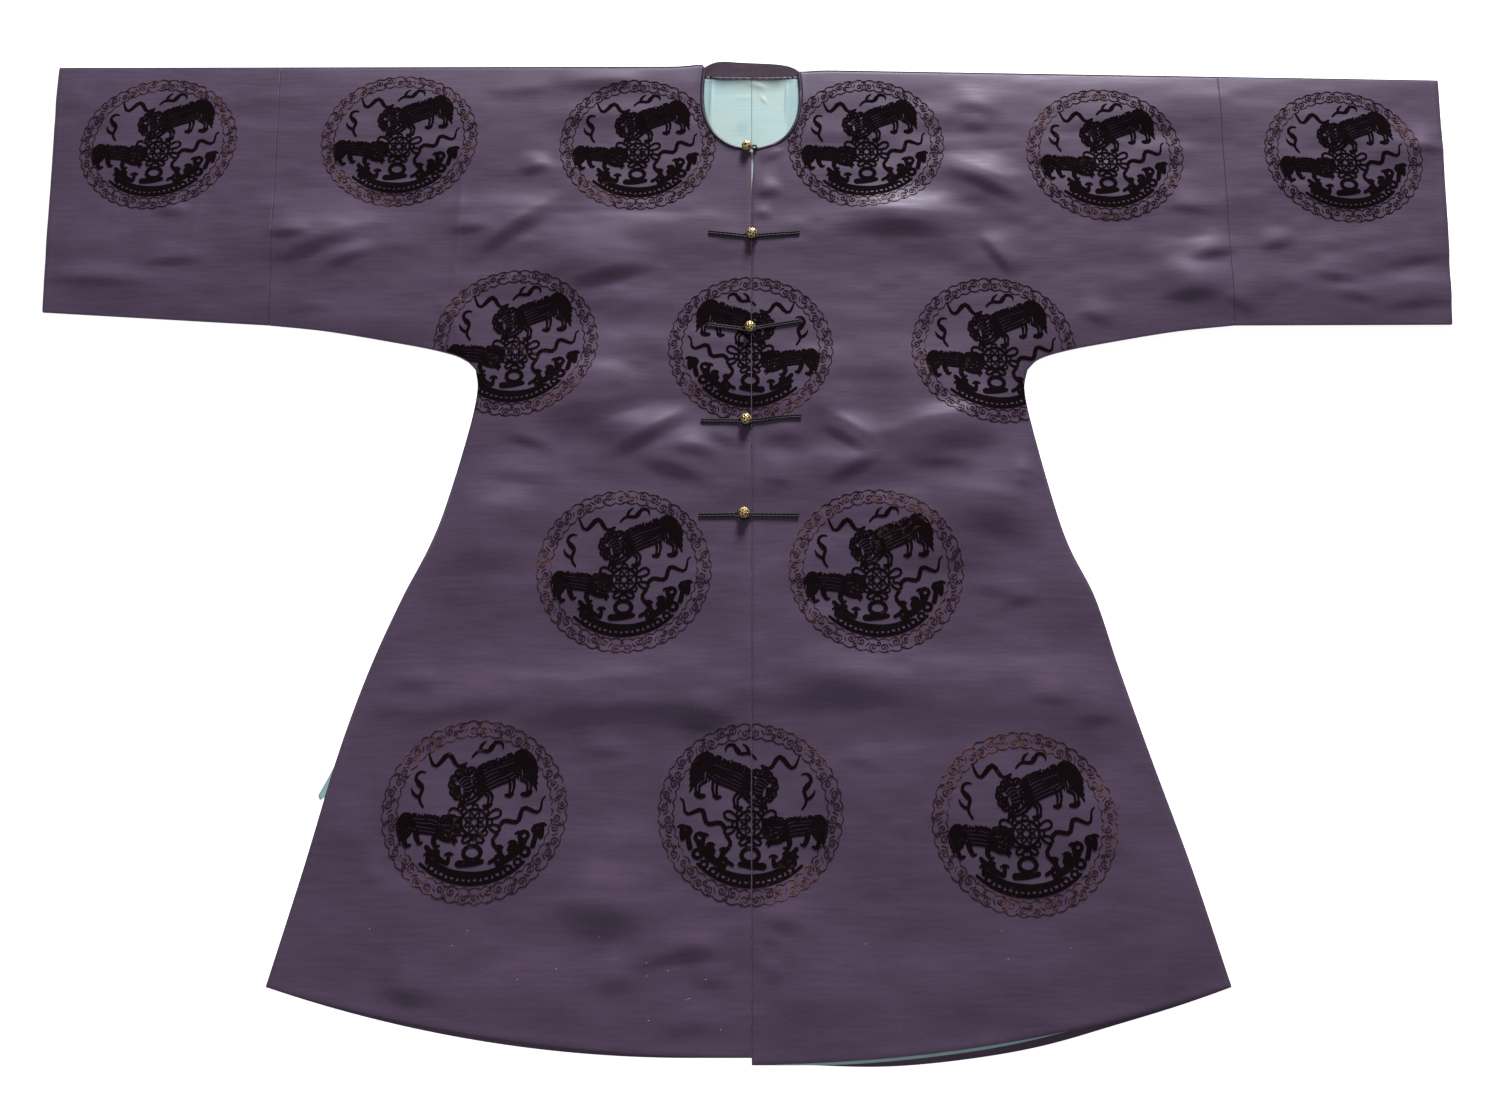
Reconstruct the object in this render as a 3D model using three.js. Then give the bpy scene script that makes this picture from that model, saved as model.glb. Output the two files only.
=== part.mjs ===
// A lined surcoat of silk satin with velvet roundels, buttoned and laid flat on its back.
// Millimetres, +Z up. The neck points to +Y and the hem to -Y, and the wearer's left sleeve lies on +X.
// Each half of the body is one loom length, folded over the shoulder, so it has no shoulder seam: its front
// layer lies on its back layer. The sleeves are pieced out with a folded length each, seamed to the body.
import * as THREE from "three";

// Cloth
const wall = 1.6; // silk shell and lining together
const seamGap = 0.3; // between pieces that are sewn to each other
const liningWall = 1.0;
const overLining = wall + liningWall + 2 * seamGap; // the lowest that anything lies over the lining
const backHeight = wall / 2; // middle of the back layer, which rests on the floor
const seamHeight = 1.5 * wall + seamGap; // middle of the front layer where it is sewn to the back
const loft = 3.6; // how far the front layer stands off the back away from the seams
const loftReach = 30; // distance from a sewn edge over which it rises
const freeEdgeLoft = 0.45; // share of the loft that is left at the hem, the cuffs and the front opening
const freeEdgeReach = 60;
const leastStand = 0.9; // the front layer never sinks closer than this to its seam height
const standRound = 1.2;

// Neck: a deep round hole cut from the front, its side almost straight up to the shoulder
const neckHalfWidth = 60;
const neckSideY = -45; // the widest place
const neckFrontY = -127;
const neckDraw = 4; // how far the sides draw in again at the shoulder
const neckPowerY = 2.4;
const neckPowerX = 2.2;
const backNeckY = -12;
const bindingWidth = 4.4;
const bindingHeight = 3.2;
const bindingGap = 0.5;
const bindingTopY = [-30, -18]; // it ends short of the shoulder, behind the collar band
const openingHalf = 0.4; // the fronts meet edge to edge

// The two halves differ a little, as the garment lies
const halves = {
  right: {
    side: -1,
    neckDown: 4,
    cuffDown: 6,
    seamTop: 580,
    seamLow: 555,
    cuffTop: 853,
    cuffLow: 817,
    cuffLowDown: 350,
    hemDown: 1172,
    backHemDrop: 0,
    edgeGape: 0,
  },
  left: {
    side: 1,
    neckDown: 9,
    cuffDown: 25,
    seamTop: 573,
    seamLow: 555,
    cuffTop: 843,
    cuffLow: 805,
    cuffLowDown: 366,
    hemDown: 1178,
    backHemDrop: 4.5,
    edgeGape: 2.4,
  },
};
const armpitDown = 425;
const backHemMiddle = 0.35; // where the back shows below the front's hem, as shares of the half's width
const backHemReach = 0.3;
const gapeY = -148; // the opening gapes a little between the two top buttons
const gapeReach = 26;

// Under edge of the sleeve, from the armpit to the sleeve seam: how far down at each distance out
const underSleeve = [
  { out: 313, down: 425 },
  { out: 326, down: 412 },
  { out: 356, down: 401 },
  { out: 401, down: 391 },
  { out: 487, down: 375 },
  { out: 555, down: 367 },
];

// Side seam, from the armpit to the hem: how far out at each distance down
const sideSeam = [
  { down: 425, right: 313, left: 313 },
  { down: 450, right: 309, left: 308 },
  { down: 500, right: 315, left: 314 },
  { down: 600, right: 336, left: 333 },
  { down: 645, right: 350, left: 345 },
  { down: 700, right: 373, left: 367 },
  { down: 780, right: 401, left: 386 },
  { down: 870, right: 425, left: 409 },
  { down: 990, right: 449, left: 441 },
  { down: 1106, right: 474, left: 468 },
];

// The largest folds: soft ridges and troughs, each along one direction
const folds = [
  { name: "waist right rise", x: -190, y: -440, length: 240, width: 30, angle: 26, height: 3.4 },
  { name: "waist right trough", x: -200, y: -495, length: 230, width: 26, angle: 24, height: -2.2 },
  { name: "waist right ridge", x: -100, y: -520, length: 190, width: 24, angle: -16, height: 3.0 },
  { name: "hip right swell", x: -270, y: -600, length: 260, width: 45, angle: 6, height: 3.6 },
  { name: "chest right", x: -200, y: -275, length: 260, width: 28, angle: 28, height: 3.0 },
  { name: "sleeve right", x: -475, y: -282, length: 170, width: 24, angle: 19, height: 3.0 },
  { name: "sleeve right crease", x: -680, y: -312, length: 300, width: 16, angle: -1, height: 2.4 },
  { name: "skirt right ridge", x: -215, y: -815, length: 620, width: 36, angle: 6, height: 4.6 },
  { name: "skirt right low", x: -100, y: -1030, length: 260, width: 26, angle: -14, height: 3.2 },
  { name: "chest left", x: 190, y: -222, length: 240, width: 28, angle: -6, height: 3.2 },
  { name: "chest left slant", x: 280, y: -190, length: 170, width: 20, angle: -34, height: 2.6 },
  { name: "sleeve left", x: 520, y: -310, length: 170, width: 24, angle: -34, height: 3.2 },
  { name: "cuff left", x: 720, y: -330, length: 260, width: 20, angle: 5, height: 2.4 },
  { name: "waist left ridge", x: 105, y: -490, length: 190, width: 24, angle: -34, height: 3.2 },
  { name: "waist left rise", x: 200, y: -505, length: 300, width: 30, angle: 18, height: 3.6 },
  { name: "hip left swell", x: 240, y: -595, length: 300, width: 45, angle: -10, height: 3.6 },
  { name: "skirt left ridge", x: 210, y: -805, length: 620, width: 36, angle: -5, height: 4.2 },
];

// Five closures down the front: where each ball lies and how far its two cord straps reach
const closures = [
  { name: "chest", ballX: 0.6, y: -247, rightReach: 51, rightRise: 4, leftReach: 57, leftRise: 4 },
  { name: "breast", ballX: -1.7, y: -372, rightReach: 52, rightRise: 6, leftReach: 58, leftRise: 11 },
  { name: "waist", ballX: -6, y: -489, rightReach: 57, rightRise: 0, leftReach: 56, leftRise: 4 },
  { name: "hip", ballX: -8, y: -603, rightReach: 58, rightRise: -1, leftReach: 52, leftRise: -1 },
];
// The top ball lies on its side, its shank over a small ring of cord
const neckBall = { x: -6, y: -122.5, turn: -22, dip: 24 };
const neckRing = { radius: 2.7, x: 3.4, y: -126.2 };
const ballRadius = 5.6;
const shankRadius = 1.5;
const shankLength = 1.2;
const cordRadius = 1.2;
const cordSpacing = 2.75; // between the two runs of a doubled cord
const loopRadius = 6.5;
const cordClearance = 0.35;
const loopThroat = 3; // where the two runs part to go round the ball
const loopMouth = 0.3; // half the angle that they leave open there
const knotPast = 2.2; // how far the other strap goes past the ball's middle

// Collar band: the dark facing that stands inside the back of the neck
const collarHalf = 53;
const collarFootY = -19;
const collarTopY = -6;
const collarTopZ = 13.5;
const collarWall = 1.8;
const collarWave = { height: 1.6, crest: -40, spread: 22 };

// Lining where it shows: under the neck hole, below the left front's hem, and at one side seam
const neckLining = [
  { y: -22, half: 53 },
  { y: -50, half: 55 },
  { y: -66, half: 63 },
  { y: -126, half: 63 },
  { y: -142, half: 36 },
  { y: -215, half: 36 },
];
const hemLining = { from: 20, to: 335, above: 1.5, width: 15 };
const sideLining = { topDown: 885, lowDown: 921, reach: 8, wall: 1.2 };

// How finely the walls are drawn
const neckToArmpit = 12;
const armpitToSeam = 6;
const chestRows = 9;
const neckRows = 9;
const skirtRows = 17;
const backChestRows = 4;
const sleeveColumns = 10;
const sleeveRows = 8;
const backSleeveRows = 2;
const foldSteps = 4;

const silkColour = 0x4c4150;
const liningColour = 0xa9d3d8;
const cordColour = 0x231d27;
const giltColour = 0xc79a3e;

const cloth = (color) => new THREE.MeshStandardMaterial({ color, roughness: 0.55, metalness: 0 });
const materials = {
  silk: cloth(silkColour),
  binding: cloth(0x2b2a38),
  lining: cloth(liningColour),
  cord: cloth(cordColour),
  gilt: new THREE.MeshStandardMaterial({ color: giltColour, roughness: 0.35, metalness: 1 }),
};

const lerp = THREE.MathUtils.lerp;
const clamp = THREE.MathUtils.clamp;

// Smooth curve through a table's rows: a cubic between neighbours, its slopes taken from the rows beside them
function alongTable(table, key, column, value) {
  const at = clamp(value, table[0][key], table.at(-1)[key]);
  const last = table.length - 2;
  const i = Math.min(last, Math.max(0, table.findIndex((row) => row[key] >= at) - 1));
  const slope = (n) => {
    const [a, b] = [table[Math.max(n - 1, 0)], table[Math.min(n + 1, last + 1)]];
    return (b[column] - a[column]) / (b[key] - a[key]);
  };
  const [a, b] = [table[i], table[i + 1]];
  const span = b[key] - a[key];
  const t = (at - a[key]) / span;
  const [t2, t3] = [t * t, t * t * t];
  return (
    a[column] * (2 * t3 - 3 * t2 + 1) +
    b[column] * (3 * t2 - 2 * t3) +
    span * (slope(i) * (t3 - 2 * t2 + t) + slope(i + 1) * (t3 - t2))
  );
}

// Outline of one half. "out" is the distance from the middle, and y runs down from the shoulder line.
const shoulderY = (half, out) =>
  -lerp(half.neckDown, half.cuffDown, (out - neckHalfWidth) / (half.cuffTop - neckHalfWidth));
const sideOut = (half, y) => alongTable(sideSeam, "down", half.side < 0 ? "right" : "left", -y);
const armpitOut = sideSeam[0].right;

function underSleeveY(half, out) {
  const end = underSleeve.at(-1);
  if (out <= end.out) return -alongTable(underSleeve, "out", "down", out);
  return -lerp(end.down, half.cuffLowDown, (out - end.out) / (half.cuffLow - end.out));
}

// Distance out at a height of a straight line from the shoulder to the under edge
function lineOut(half, top, low, y) {
  const [topY, lowY] = [shoulderY(half, top), underSleeveY(half, low)];
  return lerp(top, low, (topY - y) / (topY - lowY));
}
const cuffOut = (half, y) => lineOut(half, half.cuffTop, half.cuffLow, y);

// The neck's edge, a rounded arch below its widest place, grown outwards by a margin
function neckOut(y, margin = 0) {
  const width = neckHalfWidth + margin;
  if (y > neckSideY) return width - neckDraw * ((y - neckSideY) / neckSideY) ** 2;
  const t = clamp((neckSideY - y) / (neckSideY - neckFrontY + margin), 0, 1);
  return width * (1 - t ** neckPowerY) ** (1 / neckPowerX);
}
const bindingMargin = bindingWidth / 2 + bindingGap;
const neckBaseY = neckFrontY - bindingMargin;

// Inner edge of a front, from the neck's arch down the opening
function frontEdge(half, y) {
  const gape = half.edgeGape * Math.exp(-(((y - gapeY) / gapeReach) ** 2));
  return y > neckBaseY ? Math.max(neckOut(y, bindingMargin), openingHalf) : openingHalf + gape;
}

// The hem curves down to the middle, as a parabola
const hemCornerDown = sideSeam.at(-1).down;
const hemY = (half, share) => -lerp(half.hemDown, hemCornerDown, share ** 2);
const backHemY = (half, share) => {
  const bulge = Math.exp(-(((share - backHemMiddle) / backHemReach) ** 4));
  return hemY(half, share) - half.backHemDrop * bulge;
};

// How far a point is from the seams that hold the front layer down
function seamDistance(half, out, y) {
  const top = shoulderY(half, out) - y;
  if (-y > armpitDown) return Math.min(top, sideOut(half, y) - out);
  const under = out > armpitOut ? y - underSleeveY(half, out) : Math.hypot(armpitOut - out, y + armpitDown);
  return Math.min(top, under);
}

// The neck counts as an oval below its widest place and as a straight edge above it
function neckDistance(out, y) {
  if (y > neckSideY) return out - neckOut(y);
  return (Math.hypot(out / neckHalfWidth, (neckSideY - y) / (neckSideY - neckFrontY)) - 1) * neckHalfWidth;
}

function freeEdgeDistance(half, out, y) {
  const hem = y - hemY(half, clamp(out / sideOut(half, y), 0, 1));
  const opening = y < neckBaseY ? out - openingHalf : Infinity;
  return Math.min(neckDistance(out, y), opening, hem, cuffOut(half, y) - out);
}

function foldHeight(x, y) {
  let height = 0;
  for (const fold of folds) {
    const angle = THREE.MathUtils.degToRad(fold.angle);
    const along = (x - fold.x) * Math.cos(angle) + (y - fold.y) * Math.sin(angle);
    const across = (y - fold.y) * Math.cos(angle) - (x - fold.x) * Math.sin(angle);
    const reach = Math.abs(along) / (fold.length / 2);
    if (reach < 1) height += fold.height * Math.exp(-((across / fold.width) ** 2)) * (1 - reach ** 2) ** 2;
  }
  return height;
}

// Middle of the front layer
function frontHeight(half, out, y) {
  const held = 1 - Math.exp(-Math.max(seamDistance(half, out, y), 0) / loftReach);
  const free = 1 - Math.exp(-Math.max(freeEdgeDistance(half, out, y), 0) / freeEdgeReach);
  const stand = loft * lerp(freeEdgeLoft, 1, free) + foldHeight(half.side * out, y);
  const clear = (stand + leastStand + Math.hypot(stand - leastStand, standRound)) / 2;
  return seamHeight + held * clear;
}

// A sheet of cloth as points with an outward direction and faces between them. close() gives every point an
// outer and an inner copy, half the wall away, and puts a rim on every free edge.
class Sheet {
  constructor(thickness) {
    this.thickness = thickness;
    this.points = [];
    this.faces = [];
  }
  point(x, y, z, out) {
    this.points.push({ at: new THREE.Vector3(x, y, z), out });
    return this.points.length - 1;
  }
  face(a, b, c, d) {
    const [p, q, r] = [a, b, d].map((n) => this.points[n].at);
    const normal = q.clone().sub(p).cross(r.clone().sub(p));
    this.faces.push(normal.dot(this.points[a].out) > 0 ? [a, b, c, d] : [d, c, b, a]);
  }
  // Faces between two rows of points with as many points each
  strip(lower, upper) {
    for (let i = 0; i + 1 < lower.length; i++) this.face(lower[i], lower[i + 1], upper[i + 1], upper[i]);
  }
  close() {
    const positions = [];
    const corner = (n, side) => {
      const { at, out } = this.points[n];
      const p = at.clone().addScaledVector(out, (side * this.thickness) / 2);
      positions.push(p.x, p.y, p.z);
    };
    const quad = (corners) => {
      for (const k of [0, 1, 2, 0, 2, 3]) corner(...corners[k]);
    };
    const edges = new Set(this.faces.flatMap((f) => f.map((n, k) => `${n},${f[(k + 1) % 4]}`)));
    for (const f of this.faces) {
      quad(f.map((n) => [n, 1]));
      quad([...f].reverse().map((n) => [n, -1]));
      f.forEach((a, k) => {
        const b = f[(k + 1) % 4];
        if (!edges.has(`${b},${a}`)) quad([[b, 1], [a, 1], [a, -1], [b, -1]]);
      });
    }
    const geometry = new THREE.BufferGeometry();
    geometry.setAttribute("position", new THREE.Float32BufferAttribute(positions, 3));
    geometry.computeVertexNormals();
    return geometry;
  }
}

const up = new THREE.Vector3(0, 0, 1);
const down = new THREE.Vector3(0, 0, -1);

// Rows that carry a sheet round the shoulder, from its front row to its back row
function shoulderFold(sheet, half, frontRow, backRow) {
  const radius = (seamHeight - backHeight) / 2;
  let previous = frontRow;
  for (let s = 1; s < foldSteps; s++) {
    const angle = (Math.PI * s) / foldSteps;
    const out = new THREE.Vector3(0, Math.sin(angle), Math.cos(angle));
    const row = frontRow.map((n) => {
      const { x, y } = sheet.points[n].at;
      return sheet.point(x, y + radius * out.y, backHeight + radius + radius * out.z, out);
    });
    sheet.strip(previous, row);
    previous = row;
  }
  sheet.strip(previous, backRow);
}

const steps = (count) => Array.from({ length: count + 1 }, (_, n) => n / count);

// Heights of the chest's rows: close together at the shoulder and round the neck's arch
const shoulderRows = [-8, -16, -29];
const archY = (lowest, t) => lerp(neckSideY, lowest, Math.sin((t * Math.PI) / 2) ** (2 / neckPowerY));
const frontChestY = [
  ...shoulderRows,
  ...steps(neckRows).map((t) => archY(neckBaseY, t)),
  ...steps(chestRows).slice(1).map((t) => lerp(neckBaseY - 1, -armpitDown, t)),
];
const backChestY = steps(backChestRows).slice(1).map((t) => lerp(backNeckY, -armpitDown, t));

// One half of the body: front layer, shoulder fold and back layer in one length of cloth
function bodyHalf(half) {
  const sheet = new Sheet(wall);
  const columns = neckToArmpit + armpitToSeam;
  const shares = (n) => (n <= neckToArmpit ? n / neckToArmpit : (n - neckToArmpit) / armpitToSeam);
  const neckTop = neckOut(-half.neckDown, bindingMargin);

  // A point of the chest. Beyond the armpit its rows bend, and the lowest follows the sleeve's under edge.
  const chestPoint = (y, n, inner) => {
    if (n <= neckToArmpit) return [lerp(inner, armpitOut, shares(n)), y];
    const reach = shares(n) ** 1.4;
    const lowOut = lerp(armpitOut, half.seamLow - seamGap / 2, reach);
    const topOut = lerp(armpitOut, half.seamTop - seamGap / 2, reach);
    const [topY, lowY] = [shoulderY(half, topOut), underSleeveY(half, lowOut)];
    const drop = (-half.neckDown - y) / (armpitDown - half.neckDown);
    return [lerp(topOut, lowOut, drop), lerp(topY, lowY, drop)];
  };
  const skirtPoint = (depth, n, inner, hem) => {
    const flatY = lerp(-armpitDown, -half.hemDown, depth);
    const share = shares(n);
    const y = lerp(-armpitDown, hem(half, share), depth);
    return [lerp(inner(flatY), sideOut(half, y), share), y];
  };
  const frontPoint = ([out, y]) => sheet.point(half.side * out, y, frontHeight(half, out, y), up);
  const flatPoint = ([out, y]) => sheet.point(half.side * out, y, backHeight, down);
  const all = steps(columns).map((_, n) => n);
  const inside = all.slice(0, neckToArmpit + 1);

  // Front: the shoulder row, the chest rows, then the skirt rows
  const topRow = all.map((n) => {
    const [out] = chestPoint(-half.neckDown, n, neckTop);
    return sheet.point(half.side * out, shoulderY(half, out), seamHeight, up);
  });
  let previous = topRow;
  for (const y of frontChestY.filter((y) => y < -half.neckDown - 2)) {
    const row = all.map((n) => frontPoint(chestPoint(y, n, frontEdge(half, y))));
    sheet.strip(previous, row);
    previous = row;
  }
  previous = previous.slice(0, neckToArmpit + 1);
  for (const depth of steps(skirtRows).slice(1)) {
    const row = inside.map((n) => frontPoint(skirtPoint(depth, n, (y) => frontEdge(half, y), hemY)));
    sheet.strip(previous, row);
    previous = row;
  }

  // Back: flat on the floor, with two more columns from the middle seam out to the line of the neck's side
  const middle = [0, 0.5, 1].map((t) => lerp(seamGap / 2, neckTop, t));
  const backTop = topRow.map((n) => {
    const { x, y } = sheet.points[n].at;
    return sheet.point(x, y, backHeight, down);
  });
  shoulderFold(sheet, half, topRow, backTop);
  const middlePoints = (y) => middle.slice(0, 2).map((out) => flatPoint([out, y]));
  let backRow = backTop;
  let middleRow = middlePoints(backNeckY);
  for (const y of backChestY) {
    const row = all.map((n) => flatPoint(chestPoint(y, n, neckTop)));
    const inner = middlePoints(y);
    sheet.strip(backRow, row);
    sheet.strip([...middleRow, backRow[0]], [...inner, row[0]]);
    backRow = row;
    middleRow = inner;
  }
  backRow = backRow.slice(0, neckToArmpit + 1);
  for (const { down: rowDown } of sideSeam.slice(1)) {
    const depth = (rowDown - armpitDown) / (hemCornerDown - armpitDown);
    const row = inside.map((n) => flatPoint(skirtPoint(depth, n, () => neckTop, backHemY)));
    const inner = middlePoints(lerp(-armpitDown, backHemY(half, 0), depth));
    sheet.strip(backRow, row);
    sheet.strip([...middleRow, backRow[0]], [...inner, row[0]]);
    backRow = row;
    middleRow = inner;
  }
  return sheet.close();
}

// The piece that lengthens a sleeve: a folded length from the sleeve seam to the cuff
function sleeve(half) {
  const sheet = new Sheet(wall);
  const columns = steps(sleeveColumns);
  const at = (share, drop) => {
    const topOut = lerp(half.seamTop + seamGap / 2, half.cuffTop, share);
    const lowOut = lerp(half.seamLow + seamGap / 2, half.cuffLow, share);
    return [
      lerp(topOut, lowOut, drop),
      lerp(shoulderY(half, topOut), underSleeveY(half, lowOut), drop),
    ];
  };
  const row = (drop, layer) =>
    columns.map((share) => {
      const [out, y] = at(share, drop);
      if (layer === "back") return sheet.point(half.side * out, y, backHeight, down);
      const z = drop ? frontHeight(half, out, y) : seamHeight;
      return sheet.point(half.side * out, y, z, up);
    });
  const top = row(0, "front");
  const backTop = row(0, "back");
  shoulderFold(sheet, half, top, backTop);
  let previous = top;
  for (const t of steps(sleeveRows).slice(1)) {
    const next = row(t, "front");
    sheet.strip(previous, next);
    previous = next;
  }
  previous = backTop;
  for (const t of steps(backSleeveRows).slice(1)) {
    const next = row(t, "back");
    sheet.strip(previous, next);
    previous = next;
  }
  return sheet.close();
}

// The collar band leans back from its foot on the back neck to its upper edge, with one soft wave
function collarBand() {
  const sheet = new Sheet(collarWall);
  const lean = Math.atan2(collarTopZ - backHeight, collarTopY - collarFootY);
  const out = new THREE.Vector3(0, -Math.sin(lean), Math.cos(lean));
  const footZ = wall + seamGap + (collarWall / 2) * Math.cos(lean);
  let previous = null;
  for (const t of steps(3)) {
    const row = steps(16).map((share) => {
      const x = lerp(-collarHalf, collarHalf, share);
      const ends = 1 - 0.55 * Math.abs(x / collarHalf) ** 4;
      const wave = collarWave.height * Math.exp(-(((x - collarWave.crest) / collarWave.spread) ** 2));
      return sheet.point(
        x,
        lerp(collarFootY + 2 * (x / collarHalf) ** 2, collarTopY, t),
        lerp(footZ, collarTopZ * ends + wave, t),
        out,
      );
    });
    if (previous) sheet.strip(previous, row);
    previous = row;
  }
  return sheet.close();
}

// A round cord or binding along a curve
function tube(points, width, height, sides, count) {
  const section = steps(sides)
    .slice(1)
    .map((t) => t * 2 * Math.PI)
    .map((angle) => new THREE.Vector2((height / 2) * Math.cos(angle), (width / 2) * Math.sin(angle)));
  const path = new THREE.CatmullRomCurve3(points, false, "centripetal");
  return new THREE.ExtrudeGeometry(new THREE.Shape(section), { steps: count, extrudePath: path });
}

// Binding round one half of the neck, from the opening up to the shoulder
function neckBinding(half) {
  const points = [];
  const place = (out, y) => {
    const under = y < neckLining[1].y ? overLining : wall + seamGap;
    const z = Math.max(frontHeight(half, out + bindingMargin, y), under + bindingHeight / 2);
    points.push(new THREE.Vector3(half.side * out, y, z));
  };
  for (const t of steps(10)) {
    const y = archY(neckFrontY, 1 - t);
    place(Math.max(neckOut(y), openingHalf), y);
  }
  for (const y of bindingTopY) place(neckOut(y), y);
  return tube(points, bindingWidth, bindingHeight, 8, 20);
}

// Extruded flat piece between z and z + thickness
function flat(outline, z, thickness) {
  const shape = new THREE.Shape(outline.map(([x, y]) => new THREE.Vector2(x, y)));
  const geometry = new THREE.ExtrudeGeometry(shape, { depth: thickness, bevelEnabled: false });
  return geometry.translate(0, 0, z);
}

// Lining of the back, one half each side of its middle seam, where the neck hole and the gape show it
function neckLiningHalf(half) {
  const middle = [neckLining[0], neckLining.at(-1)].map(({ y }) => [(half.side * seamGap) / 2, y]);
  const side = neckLining.map((row) => [half.side * row.half, row.y]);
  return flat([middle[0], ...side, middle[1]], wall + seamGap, liningWall);
}

function hemLiningStrip(half) {
  const { from, to, above, width } = hemLining;
  const outs = steps(12).map((t) => lerp(from, to, t));
  const corner = sideOut(half, -hemCornerDown);
  const edge = (rise) => outs.map((out) => [half.side * out, backHemY(half, out / corner) + rise]);
  return flat([...edge(above), ...edge(above + width).reverse()], wall + seamGap, liningWall);
}

function sideLiningTab(half) {
  const { topDown, lowDown, reach, wall: thickness } = sideLining;
  const edge = (down, reachOut) => [half.side * (sideOut(half, -down) + seamGap + reachOut), -down];
  const middle = lerp(topDown, lowDown, 0.5);
  const outline = [
    edge(topDown, 0),
    edge(middle, reach * 0.55),
    edge(lowDown - 5, reach),
    edge(lowDown, reach * 0.6),
    edge(lowDown - 4, 0),
    edge(middle, 0),
  ];
  return flat(outline, 0, thickness);
}

// Openwork ball with a short shank below it, turned about its own axis
function ball() {
  const start = Math.asin(shankRadius / ballRadius);
  const round = steps(8).map((t) => {
    const angle = lerp(start, Math.PI, t);
    const radius = t === 1 ? 0 : ballRadius * Math.sin(angle);
    return new THREE.Vector2(radius, -ballRadius * Math.cos(angle));
  });
  const shankEnd = -ballRadius - shankLength;
  const profile = [new THREE.Vector2(0, shankEnd), new THREE.Vector2(shankRadius, shankEnd), ...round];
  return new THREE.LatheGeometry(profile, 12).rotateX(Math.PI / 2);
}

const garment = new THREE.Group();
const add = (name, geometry, material) => {
  const mesh = new THREE.Mesh(geometry, material);
  mesh.name = name;
  garment.add(mesh);
  return mesh;
};

const fronts = [];
for (const [name, half] of Object.entries(halves)) {
  fronts.push(add(`body_${name}`, bodyHalf(half), materials.silk));
  add(`sleeve_${name}`, sleeve(half), materials.silk);
  add(`neck_binding_${name}`, neckBinding(half), materials.binding);
  add(`lining_neck_${name}`, neckLiningHalf(half), materials.lining);
}
add("collar_band", collarBand(), materials.binding);
add("lining_hem_left", hemLiningStrip(halves.left), materials.lining);
add("lining_side_right", sideLiningTab(halves.right), materials.lining);

// Height of the cloth under a cord: the highest place below a small patch
const caster = new THREE.Raycaster();
function clothTop(x, y, reach) {
  const around = [[0, 0], [reach, 0], [-reach, 0], [0, reach], [0, -reach], [reach, reach], [-reach, -reach]];
  const heights = around.map(([dx, dy]) => {
    caster.set(new THREE.Vector3(x + dx, y + dy, 100), down);
    const hit = caster.intersectObjects(fronts)[0];
    return hit ? hit.point.z : 0;
  });
  return Math.max(...heights);
}

// A closure: on the wearer's right a doubled cord that ends in a loop round the ball, and on the left one
// that holds the ball by its shank. Each lies on the cloth.
const run = cordSpacing / 2;
for (const closure of closures) {
  const { name, ballX, y, rightReach, rightRise, leftReach, leftRise } = closure;
  const rest = cordRadius + cordClearance;
  const base = clothTop(ballX, y, loopRadius);
  const shankZ = base + cordClearance + 2 * cordRadius + cordClearance;
  const ballZ = shankZ + shankLength + ballRadius;

  const onCloth = (x, py) => new THREE.Vector3(x, py, clothTop(x, py, cordSpacing) + rest);
  const loopStart = ballX - loopRadius - loopThroat;
  const bar = (t, offset) => {
    const x = lerp(-rightReach, loopStart, t);
    return onCloth(x, y + lerp(rightRise, 0, t) + offset);
  };
  const overKnot = shankZ + cordRadius;
  const loop = steps(12).slice(1, -1).map((t) => {
    const angle = (Math.PI - loopMouth) * (1 - 2 * t);
    const rise = 0.8 * (1 + Math.cos(angle));
    return new THREE.Vector3(
      ballX + loopRadius * Math.cos(angle),
      y + loopRadius * Math.sin(angle),
      lerp(base + rest, overKnot, Math.min(1, rise)),
    );
  });
  const straight = [0, 0.25, 0.5, 0.75, 1];
  const loopPath = [
    ...straight.map((t) => bar(t, run)),
    ...loop,
    ...straight.toReversed().map((t) => bar(t, -run)),
  ];
  add(`loop_${name}`, tube(loopPath, 2 * cordRadius, 2 * cordRadius, 6, 40), materials.cord);

  const knotEnd = ballX - knotPast + 2 * run;
  const knot = (t, offset) => {
    const x = lerp(leftReach, knotEnd, t);
    const point = onCloth(x, y + lerp(leftRise, 0, t) + offset);
    if (x < ballX + loopRadius + loopThroat) point.z = base + rest;
    return point;
  };
  const along = [0, 0.25, 0.5, 0.75, 0.9, 1];
  const knotPath = [
    ...along.map((t) => knot(t, run)),
    new THREE.Vector3(knotEnd - run, y, base + rest),
    ...along.toReversed().map((t) => knot(t, -run)),
  ];
  add(`knot_${name}`, tube(knotPath, 2 * cordRadius, 2 * cordRadius, 6, 30), materials.cord);
  add(`ball_${name}`, ball().translate(ballX, y, ballZ), materials.gilt);
}

// The top ball lies on its side on the bindings, its shank over a ring of cord that lies on the left binding
const frontMiddle = frontHeight(halves.left, bindingMargin, neckFrontY);
const bindingMiddle = Math.max(frontMiddle, overLining + bindingHeight / 2);
const ringZ = bindingMiddle + bindingHeight / 2 + cordClearance + cordRadius;
const ring = new THREE.TorusGeometry(neckRing.radius, cordRadius, 8, 16);
add("loop_neck", ring.translate(neckRing.x, neckRing.y, ringZ), materials.binding);

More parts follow.
